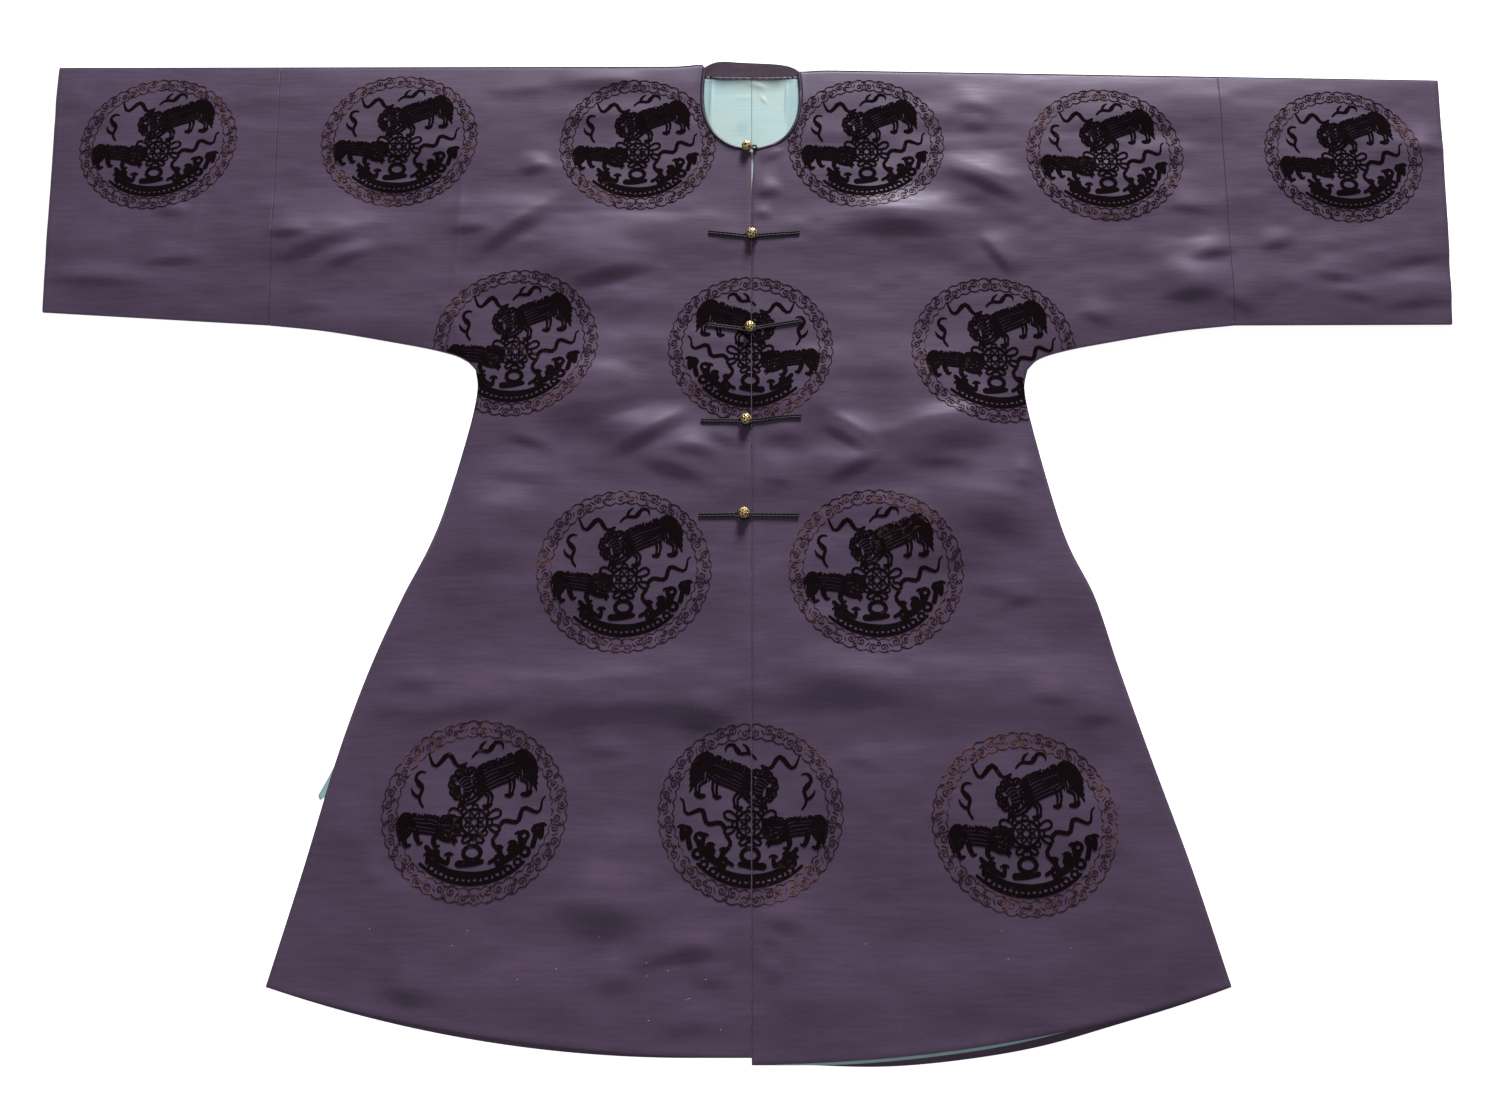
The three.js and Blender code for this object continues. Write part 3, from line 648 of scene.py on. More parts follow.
def makeSatin(name, silk):
    material, tree, shader, place = startMaterial(
        name, Specular_IOR_Level=silk["specular"], Specular_Tint=silk["tint"], Anisotropic=silk["anisotropy"],
        Sheen_Weight=silk["sheen"], Sheen_Roughness=0.4, Sheen_Tint=silk["tint"])
    woven = satinWeave
    weft = addGroup(tree, weftGroup, Vector=place, Length=woven["length"], Fineness=woven["fineness"])
    tone = addGroup(tree, toneGroup, Vector=place, Scale=woven["patches"])
    share = weighted(tree, *zip((weft["Streaks"], tone["Tone"], tone["Spots"]), woven["shares"]))
    share = mapRange(tree, share, woven["darkest"], woven["lightest"])
    plug(tree, shader, "Base Color", mixColour(tree, share, silk["dark"], silk["light"]))
    smooth, rough = silk["roughness"] - woven["smoother"], silk["roughness"] + woven["rougher"]
    plug(tree, shader, "Roughness", mapRange(tree, weft["Streaks"], *middleRange, smooth, rough))
    height = weighted(tree, (weft["Streaks"], 1.0), (weft["Threads"], 0.5))
    plug(tree, shader, "Normal", bump(tree, height, woven["bump"], threadDepth))
    plug(tree, shader, "Tangent", addNode(tree, "ShaderNodeCombineXYZ", X=1.0))
    return material


lionVelvet = {
    "deep": (0.004, 0.0025, 0.003, 1), "tip": (0.011, 0.006, 0.008, 1), "worn": (0.042, 0.021, 0.019, 1),
    "wear": 0.16,
}
ringVelvet = {
    "deep": (0.020, 0.008, 0.011, 1), "tip": (0.038, 0.017, 0.020, 1), "worn": (0.16, 0.078, 0.070, 1),
    "wear": 0.78,
}


def makeVelvet(name, velvet):
    material, tree, shader, place = startMaterial(name, Roughness=0.9, Specular_IOR_Level=0.0)
    woven = addGroup(tree, pileGroup, Vector=place, Wear=velvet["wear"])
    base = mixColour(tree, woven["Speckle"], velvet["deep"], velvet["tip"])
    plug(tree, shader, "Base Color", mixColour(tree, woven["Worn"], base, velvet["worn"]))
    plug(tree, shader, "Normal", bump(tree, woven["Speckle"], *pileBump))
    return material


liningSilk = {
    "base": (0.385, 0.565, 0.585, 1), "shade": (0.10, 0.24, 0.27, 1), "stain": (0.44, 0.52, 0.44, 1),
    "length": 14.0, "fineness": 500.0, "patches": 14.0, "stained": 0.6, "stainRange": (0.45, 0.7),
    "streaked": 0.16, "bump": 0.3,
}


def makeLining():
    silk = liningSilk
    material, tree, shader, place = startMaterial("aqua lining", Roughness=0.5, Sheen_Weight=0.1)
    weft = addGroup(tree, weftGroup, Vector=place, Length=silk["length"], Fineness=silk["fineness"])
    tone = addGroup(tree, toneGroup, Vector=place, Scale=silk["patches"])
    stained = mapRange(tree, tone["Tone"], *silk["stainRange"], 0.0, silk["stained"])
    streaked = mapRange(tree, weft["Streaks"], *middleRange, 0.0, silk["streaked"])
    base = mixColour(tree, stained, silk["base"], silk["stain"])
    base = mixColour(tree, attribute(tree, "shade"), base, silk["shade"])
    plug(tree, shader, "Base Color", mixColour(tree, streaked, base, silk["shade"]))
    plug(tree, shader, "Normal", bump(tree, weft["Streaks"], silk["bump"], threadDepth))
    return material


cordSilk = {
    "dark": (0.013, 0.009, 0.014, 1), "light": (0.048, 0.034, 0.054, 1), "range": (0.1, 0.6),
    "turns": 0.9425, "distortion": 0.4, "patches": 60.0, "bump": 0.3,
}


# Silk cord: twisted threads read from the piece's own map, u round it and v along it
def makeCordSilk():
    material, tree, shader, place = startMaterial("cord silk", Roughness=0.55, Specular_IOR_Level=0.15)
    along = addNode(tree, "ShaderNodeUVMap", {"uv_map": "along"})
    tone = addGroup(tree, toneGroup, Vector=place, Scale=cordSilk["patches"])
    twist = {"wave_type": "BANDS", "bands_direction": "DIAGONAL"}
    wave = addNode(tree, "ShaderNodeTexWave", twist, Vector=along, Scale=cordSilk["turns"],
                   Distortion=cordSilk["distortion"])
    share = addMath(tree, "MULTIPLY", wave.outputs["Fac"], tone["Tone"])
    base = mixColour(tree, mapRange(tree, share, *cordSilk["range"]), cordSilk["dark"], cordSilk["light"])
    plug(tree, shader, "Base Color", base)
    plug(tree, shader, "Normal", bump(tree, wave.outputs["Fac"], cordSilk["bump"], threadDepth))
    return material


# the hole colour is painted shade: the dark inside of the ball seen through its openings
gilt = {
    "metal": (1.0, 0.80, 0.38, 1), "hole": (0.03, 0.018, 0.01, 1), "tarnish": (0.80, 0.52, 0.18, 1),
    "patches": 220.0, "metallic": 0.6, "smoothest": 0.12, "roughest": 0.3, "tarnished": (0.4, 0.65),
    "bump": (0.5, 0.0006),
}


def makeGilt():
    material, tree, shader, place = startMaterial("gilt")
    tone = addGroup(tree, toneGroup, Vector=place, Scale=gilt["patches"])
    # painted shade in the openings: near black and not metallic there
    hole = attribute(tree, "hole")
    metal = mixColour(tree, mapRange(tree, tone["Tone"], *gilt["tarnished"]), gilt["metal"], gilt["tarnish"])
    plug(tree, shader, "Base Color", mixColour(tree, hole, metal, gilt["hole"]))
    plug(tree, shader, "Metallic", mapRange(tree, hole, 0.0, 1.0, gilt["metallic"], 0.0))
    rough = mapRange(tree, tone["Spots"], *middleRange, gilt["smoothest"], gilt["roughest"])
    plug(tree, shader, "Roughness", rough)
    plug(tree, shader, "Normal", bump(tree, tone["Spots"], *gilt["bump"]))
    return material


plain = {"patches": 80.0, "darker": 0.7}


# One colour and its darker shade in small patches
def makePlain(name, colour, roughness):
    material, tree, shader, place = startMaterial(name, Roughness=roughness)
    tone = addGroup(tree, toneGroup, Vector=place, Scale=plain["patches"])
    darker = tuple(plain["darker"] * c for c in colour[:3]) + (1,)
    plug(tree, shader, "Base Color", mixColour(tree, tone["Tone"], colour, darker))
    return material


satinMaterial = makeSatin("purple satin", satin)
velvetMaterial = makeVelvet("black velvet", lionVelvet)
ringMaterial = makeVelvet("ring velvet", ringVelvet)
liningMaterial = makeLining()
bindingMaterial = makeSatin("edging satin", edging)
cordMaterial = makeCordSilk()
paintedLightCollarMaterial = makeSatin("collar satin with painted light", band)
giltMaterial = makeGilt()
seamThreadMaterial = makePlain("lining thread", (0.55, 0.45, 0.22, 1), 0.7)
lintMaterial = makePlain("lint", (0.6, 0.58, 0.6, 1), 0.9)
print("materials ready")

# Silk pieces: how many rows and columns their grids have
grids = {
    "neckToArmpit": 80,
    "armpitToSeam": 62,
    "neckRows": 9,
    "archRows": 24,
    "chestRows": 72,
    "skirtRows": 180,
    "backRow": 20,
    "sleeveColumns": 64,
    "sleeveRows": 82,
    "sleeveBackRows": 26,
    "middleColumns": 8,
    "foldSteps": 5,
}
# About how long each of them is, in millimetres, so that the turned edges get their rows
spans = {"toArmpit": 400, "toSeam": 265, "chest": 295, "skirt": 748, "sleeveWidth": 270, "sleeveHeight": 360}
insideShares = edgedShares(grids["neckToArmpit"], spans["toArmpit"], high=False)
outsideShares = edgedShares(grids["armpitToSeam"], spans["toSeam"], low=False)[1:]
chestBend = {"fade": 60, "power": 1.4}
nearShoulder = 1.5
backSeamHalf = 0.02


# Points of the chest. Beyond the armpit the rows bend, and the lowest follows the sleeve's under edge.
def chestPoints(half, rowY, inner):
    rowY = np.asarray(rowY, float)[:, None]
    out = lerp(inner(rowY), armpitOut, insideShares[None, :])
    fade = np.clip(1 - (-half["neckDown"] - rowY) / chestBend["fade"], 0, 1)
    y = rowY + (shoulderY(half, out) + half["neckDown"]) * fade
    reach = outsideShares[None, :] ** chestBend["power"]
    lowOut = lerp(armpitOut, half["seamLow"] - seamGap / 2, reach)
    topOut = lerp(armpitOut, half["seamTop"] - seamGap / 2, reach)
    drop = (-half["neckDown"] - rowY) / (armpitDown - half["neckDown"])
    outside = lerp(topOut, lowOut, drop)
    outsideY = lerp(shoulderY(half, topOut), underSleeveY(half, lowOut), drop)
    return np.hstack([out, outside]), np.hstack([y, outsideY])


# Points of the skirt, from the armpit's height to the hem
def skirtPoints(half, depth, inner, hem):
    depth = np.asarray(depth, float)[:, None]
    share = insideShares[None, :]
    flatY = lerp(-armpitDown, -half["hemDown"], depth)
    y = lerp(-armpitDown, hem(half, share), depth)
    return lerp(inner(flatY), sideOut(half, y), share), y


# The cloth round the shoulder: a half circle from the front row down to the back row
def shoulderRows(x, y):
    radius = (seamHeight - backHeight) / 2
    angle = np.pi * np.arange(1, grids["foldSteps"]) / grids["foldSteps"]
    shape = (angle.size, x.size)
    z = np.broadcast_to((backHeight + radius + radius * np.cos(angle))[:, None], shape)
    return np.stack([np.broadcast_to(x, shape), y[None, :] + radius * np.sin(angle)[:, None], z], axis=-1)


# Gathers rows of points and the faces between them
class Cutting:
    def __init__(self):
        self.points = []
        self.faces = []
        self.count = 0

    def rows(self, points):
        rows, columns = points.shape[:2]
        self.points.append(points.reshape(-1, 3))
        index = self.count + np.arange(rows * columns).reshape(rows, columns)
        self.count += rows * columns
        for lower, upper in zip(index[:-1], index[1:]):
            self.faces.append(strip(lower, upper))
        return index

    def join(self, lower, upper):
        self.faces.append(strip(lower, upper))

    def finish(self):
        return np.vstack(self.points), np.vstack(self.faces)


def stacked(half, out, y, z):
    return np.stack([half["side"] * out, y, np.broadcast_to(z, out.shape)], axis=-1)


# One half of the body in one length of cloth: front, shoulder fold and back
def makeBodyHalf(name, half):
    cut = Cutting()
    arch = np.sin(np.linspace(0, np.pi / 2, grids["archRows"])) ** (2 / neck["powerY"])
    chestY = np.concatenate([
        np.linspace(-half["neckDown"], neck["sideY"], grids["neckRows"]),
        lerp(neck["sideY"], neckBaseY, arch)[1:],
        lerp(neckBaseY - 1, -armpitDown, edgedShares(grids["chestRows"], spans["chest"], low=False)),
    ])
    chestY = np.insert(chestY, 1, -half["neckDown"] - nearShoulder)
    out, y = chestPoints(half, chestY, lambda row: frontEdge(half, row))
    out[0], y[0] = chestPoints(half, chestY[:1], lambda row: neckOut(row, bindingMargin))
    z = frontHeight(half, out, y)
    z[0] = seamHeight
    front = cut.rows(stacked(half, out, y, z))

    depth = edgedShares(grids["skirtRows"], spans["skirt"], low=False)[1:]
    skirtOut, skirtY = skirtPoints(half, depth, lambda row: frontEdge(half, row), hemY)
    skirt = cut.rows(stacked(half, skirtOut, skirtY, frontHeight(half, skirtOut, skirtY)))
    inside = insideShares.size
    cut.join(front[-1][:inside], skirt[0])

    fold = cut.rows(shoulderRows(half["side"] * out[0], y[0]))
    cut.join(front[0], fold[0])
    neckTop = float(neckOut(np.array(-float(half["neckDown"])), bindingMargin))
    backRows = int((armpitDown + neck["backY"]) / grids["backRow"])
    backY = np.linspace(neck["backY"], -armpitDown, backRows)
    backOut, backPointY = chestPoints(half, backY, lambda row: np.full_like(row, neckTop))
    top = stacked(half, out[0], y[0], backHeight)[None]
    back = cut.rows(np.concatenate([top, stacked(half, backOut, backPointY, backHeight)[1:]]))
    cut.join(fold[-1], back[0])
    skirtDepth = np.linspace(0, 1, int(spans["skirt"] / grids["backRow"]))[1:]
    lowOut, lowY = skirtPoints(half, skirtDepth, lambda row: np.full_like(row, neckTop), backHemY)
    low = cut.rows(stacked(half, lowOut, lowY, backHeight))
    cut.join(back[-1][:inside], low[0])
    # the back's middle, from its seam out to the line of the neck's side
    middle = lerp(backSeamHalf, neckTop, np.linspace(0, 1, grids["middleColumns"])[:-1])
    middleY = np.concatenate([backY, lerp(-armpitDown, float(backHemY(half, 0.0)), skirtDepth)])
    middleOut, middleRowY = np.meshgrid(middle, middleY)
    centre = cut.rows(stacked(half, middleOut, middleRowY, backHeight))
    sideColumn = np.concatenate([back[:, 0], low[:, 0]])
    cut.faces.append(strip(centre[:, -1], sideColumn))
    points, faces = cut.finish()
    piece = meshFrom(f"cloth_body_{name}", points, faces, satinMaterial)
    thicken(piece, cloth["shell"])
    return finishPiece(piece, "silk", f"body_{name}")


def makeSleeve(name, half):
    cut = Cutting()
    share = edgedShares(grids["sleeveColumns"], spans["sleeveWidth"])[None, :]

    def at(drop):
        drop = np.asarray(drop, float)[:, None]
        topOut = lerp(half["seamTop"] + seamGap / 2, half["cuffTop"], share)
        lowOut = lerp(half["seamLow"] + seamGap / 2, half["cuffLow"], share)
        return lerp(topOut, lowOut, drop), lerp(shoulderY(half, topOut), underSleeveY(half, lowOut), drop)

    out, y = at(edgedShares(grids["sleeveRows"], spans["sleeveHeight"]))
    z = frontHeight(half, out, y)
    z[0] = seamHeight
    front = cut.rows(stacked(half, out, y, z))
    fold = cut.rows(shoulderRows(half["side"] * out[0], y[0]))
    cut.join(front[0], fold[0])
    backOut, backY = at(np.linspace(0, 1, grids["sleeveBackRows"]))
    back = cut.rows(stacked(half, backOut, backY, backHeight))
    cut.join(fold[-1], back[0])
    points, faces = cut.finish()
    piece = meshFrom(f"cloth_sleeve_{name}", points, faces, satinMaterial)
    thicken(piece, cloth["shell"])
    return finishPiece(piece, "silk", f"sleeve_{name}")


bodies = {name: makeBodyHalf(name, half) for name, half in halves.items()}
sleeves = {name: makeSleeve(name, half) for name, half in halves.items()}
print("silk pieces made")

# Woven figures of the roundels, drawn freely: two lions play with a ball over rocks. A stroke is its widths
# at the start, middle and end, and the points that it passes through, in hundredths of the roundel's radius.
# A lion in its own proportions: 1 is from shoulder to rump, the shoulder is at 0, 0 and it looks towards -x.
lionParts = {
    "back": ((0.30, 0.36, 0.32), [(0.0, 0.14), (0.3, 0.2), (0.6, 0.18), (0.92, 0.16)]),
    "flank": ((0.30, 0.36, 0.32), [(0.04, -0.08), (0.35, -0.06), (0.65, -0.06), (0.9, -0.02)]),
    "haunch": ((0.28, 0.38, 0.24), [(0.88, 0.1), (1.0, -0.06), (0.94, -0.26)]),
    "hindShin": ((0.20, 0.18, 0.15), [(0.94, -0.25), (1.04, -0.42), (0.97, -0.58)]),
    "hindPaw": ((0.12, 0.15, 0.1), [(1.0, -0.62), (0.9, -0.65), (0.8, -0.6)]),
    "farHindLeg": ((0.22, 0.18, 0.15), [(0.7, -0.18), (0.66, -0.34), (0.58, -0.46)]),
    "farHindPaw": ((0.1, 0.12, 0.08), [(0.6, -0.5), (0.52, -0.52), (0.45, -0.47)]),
    "chest": ((0.30, 0.36, 0.26), [(0.0, 0.06), (-0.05, -0.1), (-0.02, -0.24)]),
    "foreleg": ((0.21, 0.19, 0.16), [(-0.06, -0.2), (-0.26, -0.28), (-0.46, -0.28)]),
    "toes": ((0.1, 0.12, 0.08), [(-0.46, -0.24), (-0.56, -0.24), (-0.62, -0.3)]),
    "lowToes": ((0.08, 0.1, 0.06), [(-0.46, -0.32), (-0.54, -0.35), (-0.58, -0.41)]),
    "farForeleg": ((0.21, 0.18, 0.15), [(0.06, -0.2), (0.12, -0.36), (0.04, -0.5)]),
    "farForePaw": ((0.1, 0.12, 0.08), [(0.07, -0.53), (-0.02, -0.55), (-0.1, -0.5)]),
    "skull": ((0.26, 0.34, 0.26), [(-0.16, 0.2), (-0.28, 0.23), (-0.4, 0.19)]),
    "cheek": ((0.22, 0.28, 0.22), [(-0.16, 0.02), (-0.28, 0.0), (-0.38, 0.03)]),
    "nape": ((0.3, 0.36, 0.3), [(-0.12, 0.1), (-0.02, 0.1), (0.08, 0.08)]),
    "muzzle": ((0.12, 0.15, 0.11), [(-0.46, 0.14), (-0.52, 0.08), (-0.5, 0.0)]),
    "jaw": ((0.07, 0.09, 0.06), [(-0.28, -0.13), (-0.4, -0.13), (-0.48, -0.08)]),
}
lionMane = {
    "x": -0.27, "y": 0.11, "radius": 0.32, "curls": 12, "from": -50, "to": 235, "curl": 0.12, "width": 0.065,
}
lionFleece = {"from": 0.12, "to": 0.86, "y": 0.34, "curls": 7, "curl": 0.09, "width": 0.06}
lionTail = {
    "x": 0.96, "y": 0.26, "locks": 4, "reach": 0.36, "fall": 0.52, "spread": 0.09, "shorter": 0.06,
    "deeper": 0.04, "widths": (0.15, 0.17, 0.04),
}
furTurns = 1.3
lions = {
    "big": dict(x=4, y=29, length=47, turn=24, facing=-1),
    "small": dict(x=-36, y=-20, length=34, turn=-8, facing=1),
}
# Waving bands: start, heading in degrees, length, how many waves, how far they swing, and the widths
ribbons = [
    (-12, 52, 172, 42, 1.6, 8.0, (3.4, 6, 2)), (27, -17, 29, 58, 2.3, 6.0, (5, 5.2, 1.8)),
    (26, -24, 264, 32, 1.1, -6.0, (4, 4.8, 4.4)), (-19, -9, 200, 18, 1.0, 3.0, (3.4, 3.2, 2.4)),
]
# Wisps: foot, heading in degrees and length
wisps = [(-6, 59, 30, 36), (-55, 4, 105, 40)]
wispStem = {"share": 0.8, "waves": 1.1, "swing": 3.4, "widths": (2.4, 4.2, 4), "fine": 60}
# A wisp's tongues: share of the stem where each leaves, turn from the stem's heading, bend and length
tongues = [(0.98, 12, -150, 0.42), (0.66, 52, -80, 0.42), (0.36, 64, -70, 0.36)]
tongueWidths = (4, 3.6, 1.5)
# Loops of the ball's bow: where each starts, heading in degrees, length and breadth
bowLoops = [(-11, -6, 158, 17, 12), (13, -8, 28, 17, 12), (16, -16, -20, 13, 10), (0, -26, 215, 13, 8),
            (1, -26, 325, 13, 8), (-13, -14, 205, 12, 9)]
bowWidths = (2.8, 3.2, 2.8)
gourd = [(0.5, -34, 4.6, 4.2, 3), (0.5, -45, 9.4, 7.6, 5)]
lionBall = {"x": 0.5, "y": -12, "radius": 14, "petals": 8}
# The ball's rim, petal and bead: widths, and points as share of the radius and turn from their middle
ballWidths = [(3.2, 3.8, 3.2), (1.9, 2.4, 1.9), (2.2, 2.6, 2.2)]
ballShapes = [
    [(1, -0.4), (1, -0.2), (1, 0), (1, 0.2), (1, 0.4)],
    [(0.25, 0), (0.55, -0.3), (0.8, 0), (0.55, 0.3), (0.25, 0)],
    [(0.95, -0.15), (1.25, -0.2), (1.38, 0), (1.25, 0.2), (0.95, 0.15)],
]
# Shore: bands along the roundel's lower edge, as radius, the angles between which they run, and width
shoreBands = [(78, 226, 316, 4.6), (69, 230, 300, 8.4), (64, 296, 330, 8.8), (62, 218, 246, 7)]
# Rings on the shore: the radius where they lie, the angles between which they stand, how many, and their size
shoreRings = [(73.5, 236, 312, 9, 4.0, 3.4), (60, 300, 334, 3, 5.0, 4.4), (71, 322, 344, 2, 5.0, 4.4)]
# Rocks that stand on the shore: foot, height, heading in degrees and width
rocks = [
    (-46, -55, 9, 84, 6), (-35, -54, 12, 100, 7), (-25, -56, 10, 78, 5), (-14, -57, 26, 0, 8),
    (31, -50, 12, 96, 6), (42, -48, 15, 82, 7), (52, -43, 20, 92, 6), (64, -38, 18, 74, 6),
    (72, -28, 14, 80, 6),
]
rockBend = 12
curlFrom = 0.18
arcSteps = 6
waveSteps = 8
firstSwing = 0.4
rockCap = {"half": 4.2, "rise": 1, "widths": (2.6, 3.6, 2.6)}
narrower = 0.7
border = {
    "repeats": 22, "outer": 96.4, "inner": 84.2, "scallop": 2.6, "curl": 5.0, "smallCurl": 3.3,
    "curlWidth": 1.35, "outCurl": 92.8, "inCurl": 87.8, "turns": 1.45, "widths": (1.1, 1.35, 1.1),
    "pair": (0.27, 0.73), "single": 0.5, "link": (0.1, -0.04),
}
furrow = {"fromWidth": 9, "pitch": 4.2, "share": 0.76}


# A curl: a spiral whose radius grows evenly with its angle
def curlStroke(cx, cy, radius, way, start=2.0, width=2.6, turns=1.15):
    angle = start + way * np.linspace(0, turns * 2 * np.pi, 10)
    reach = radius * np.linspace(curlFrom, 1, angle.size)
    points = np.column_stack([cx + reach * np.cos(angle), cy + reach * np.sin(angle)])
    return (width, 1.1 * width, 0.8 * width), points


# An ellipse as a stroke that ends where it starts
def ringStroke(x, y, halfWidth, halfHeight, width):
    a = np.linspace(0, 2 * np.pi, 9)
    return (width, width, width), np.column_stack([x + halfWidth * np.cos(a), y + halfHeight * np.sin(a)])


# Points along and across a heading in degrees, from x, y
def headed(x, y, heading, along, across):
    c, s = math.cos(math.radians(heading)), math.sin(math.radians(heading))
    return np.column_stack([x + along * c - across * s, y + along * s + across * c])


# A band that swings as a sine about a straight line, more and more from its start
def waveStroke(x, y, heading, length, waves, swing, widths):
    t = np.linspace(0, 1, int(waveSteps * waves) + 3)
    across = swing * np.sin(2 * np.pi * waves * t) * np.minimum(1, firstSwing + t)
    return widths, headed(x, y, heading, length * t, across)


# A line that turns evenly: its heading changes by the bend from start to end
def arcStroke(x, y, heading, bend, length, widths):
    way = np.radians(heading + bend * (np.arange(arcSteps) + 0.5) / arcSteps)
    steps = length / arcSteps * np.column_stack([np.cos(way), np.sin(way)])
    return widths, np.vstack([[x, y], [x, y] + np.cumsum(steps, axis=0)])


# A loop like a leaf: out and back along its heading as a cosine, to both sides as a sine
def loopStroke(x, y, heading, length, breadth):
    a = np.linspace(0, 2 * np.pi, 10)
    across = breadth / 2 * np.sin(a) * (0.7 - 0.3 * np.cos(a))
    return bowWidths, headed(x, y, heading, length * (1 - np.cos(a)) / 2, across)


def polarPoint(radius, degrees):
    return radius * math.cos(math.radians(degrees)), radius * math.sin(math.radians(degrees))


# A stem that waves once, with curled tongues leaving it
def wispStrokes(x, y, heading, length):
    run = length * wispStem["share"]
    stem = waveStroke(x, y, heading, run, wispStem["waves"], wispStem["swing"], wispStem["widths"])
    fine = throughPoints(stem[1], wispStem["fine"])
    strokes = [stem]
    for share, turn, bend, reach in tongues:
        at = fine[int(share * (wispStem["fine"] - 1))]
        strokes.append(arcStroke(*at, heading + turn, bend, reach * length, tongueWidths))
    return strokes


# A lion: its parts, the ring of curls of its mane and the locks of its tail, turned and grown to its place
def lionStrokes(x, y, length, turn, facing):
    c, s = math.cos(math.radians(turn)), math.sin(math.radians(turn))
    mane, fleece, tail = lionMane, lionFleece, lionTail
    own = list(lionParts.values())
    for k, angle in enumerate(np.radians(np.linspace(mane["from"], mane["to"], mane["curls"]))):
        at = mane["x"] + mane["radius"] * math.cos(angle), mane["y"] + mane["radius"] * math.sin(angle)
        own.append(curlStroke(*at, mane["curl"], 2 * (k % 2) - 1, angle, mane["width"], furTurns))
    for k, px in enumerate(np.linspace(fleece["from"], fleece["to"], fleece["curls"])):
        own.append(curlStroke(px, fleece["y"], fleece["curl"], 2 * (k % 2) - 1, k, fleece["width"], furTurns))
    for k in range(tail["locks"]):
        px, py = tail["x"], tail["y"] - k * tail["spread"]
        reach, fall = tail["reach"] - k * tail["shorter"], tail["fall"] + tail["deeper"] * k
        middle = [(px + 0.5 * reach, py + 0.07), (px + 0.95 * reach, py - 0.35 * fall)]
        own.append((tail["widths"], [(px, py), *middle, (px + reach, py - fall)]))
    placed = []
    for widths, points in own:
        p = np.array(points, float) * length
        p = np.column_stack([p[:, 0] * -facing, p[:, 1]])
        p = np.column_stack([p[:, 0] * c - p[:, 1] * s, p[:, 0] * s + p[:, 1] * c]) + [x, y]
        placed.append((tuple(w * length for w in widths), p))
    return placed


# The ball: a rim in arcs, petals round its middle and a bead between two petals
def ballStrokes():
    centre = np.array([lionBall["x"], lionBall["y"]])
    radius, petals = lionBall["radius"], lionBall["petals"]
    strokes = []

    def polar(share, angle):
        return centre + share * radius * np.array([math.cos(angle), math.sin(angle)])

    for k in range(petals):
        a = (k + 0.5) * 2 * math.pi / petals
        b = a + math.pi / petals
        for widths, shape, middle in zip(ballWidths, ballShapes, (a, a, b)):
            strokes.append((widths, [polar(share, middle + turn) for share, turn in shape]))
    return strokes


def shoreStrokes():
    strokes = []
    for radius, low, high, width in shoreBands:
        way = np.radians(np.linspace(low, high, 9))
        band = radius * np.column_stack([np.cos(way), np.sin(way)])
        strokes.append(((width * narrower, width, width * narrower), band))
    for radius, low, high, count, size, width in shoreRings:
        for degrees in np.linspace(low, high, count):
            strokes.append(ringStroke(*polarPoint(radius, degrees), size, 0.92 * size, width))
    for x, y, height, heading, width in rocks:
        strokes.append(arcStroke(x, y, heading, rockBend, height, (width, width, narrower * width)))
        if heading:
            topX, topY = strokes[-1][1][-1]
            reach, rise = rockCap["half"], rockCap["rise"]
            cap = [(topX - reach, topY - rise), (topX, topY + rise), (topX + reach, topY - rise)]
            strokes.append((rockCap["widths"], cap))
    return strokes


def pictureStrokes():
    strokes = [waveStroke(*row) for row in ribbons]
    for lion in lions.values():
        strokes += lionStrokes(**lion)
    for row in wisps:
        strokes += wispStrokes(*row)
    strokes += [loopStroke(*row) for row in bowLoops]
    strokes += [ringStroke(*row) for row in gourd]
    return strokes + ballStrokes() + shoreStrokes()


# The border: two scalloped lines, and between them pairs of facing curls, outwards and inwards by turns
def borderStrokes():
    strokes = []
    step = 360 / border["repeats"]
    for k in range(border["repeats"]):
        inward = k % 2
        share = np.linspace(0, 1, 9)
        for radius, out in ((border["outer"], 1), (border["inner"], -1)):
            reach = radius + out * border["scallop"] * np.abs(np.sin(2 * np.pi * share))
            way = np.radians((k + share) * step)
            strokes.append((border["widths"], np.column_stack([reach * np.cos(way), reach * np.sin(way)])))
        radius, other = border["outCurl"], border["inCurl"]
        if inward:
            radius, other = other, radius
        for place, way in zip(border["pair"], (1, -1)):
            degrees = (k + place) * step
            start = math.radians(degrees) + (0 if inward else math.pi)
            strokes.append(curlStroke(*polarPoint(radius, degrees), border["curl"], way, start=start,
                                      width=border["curlWidth"], turns=border["turns"]))
        degrees = (k + border["single"]) * step
        strokes.append(curlStroke(*polarPoint(other, degrees), border["smallCurl"], 1 if inward else -1,
                                  start=math.radians(degrees), width=border["curlWidth"]))
        before, after = border["link"]
        link = [polarPoint(other, (k + before) * step), polarPoint((radius + other) / 2, k * step),
                polarPoint(radius, (k + after) * step)]
        strokes.append((border["widths"], link))
    return strokes


# A broad stroke as several narrow ones side by side, like combed fur
def furrowed(widths, points):
    if max(widths) < furrow["fromWidth"]:
        return [(widths, np.array(points, float))]
    points = np.array(points, float)
    along = np.gradient(points, axis=0)
    along /= np.linalg.norm(along, axis=1)[:, None]
    across = np.column_stack([-along[:, 1], along[:, 0]])
    count = round(max(widths) / furrow["pitch"])
    reach = np.interp(np.linspace(0, 1, len(points)), [0, 0.5, 1], widths)[:, None]
    lines = []
    for k in range(count):
        offset = (k + 0.5) / count - 0.5
        narrow = tuple(w / count * furrow["share"] for w in widths)
        lines.append((narrow, points + across * reach * offset))
    return lines


strokeTip = {"reach": 0.7, "width": 0.45}
strokeSamples = 8


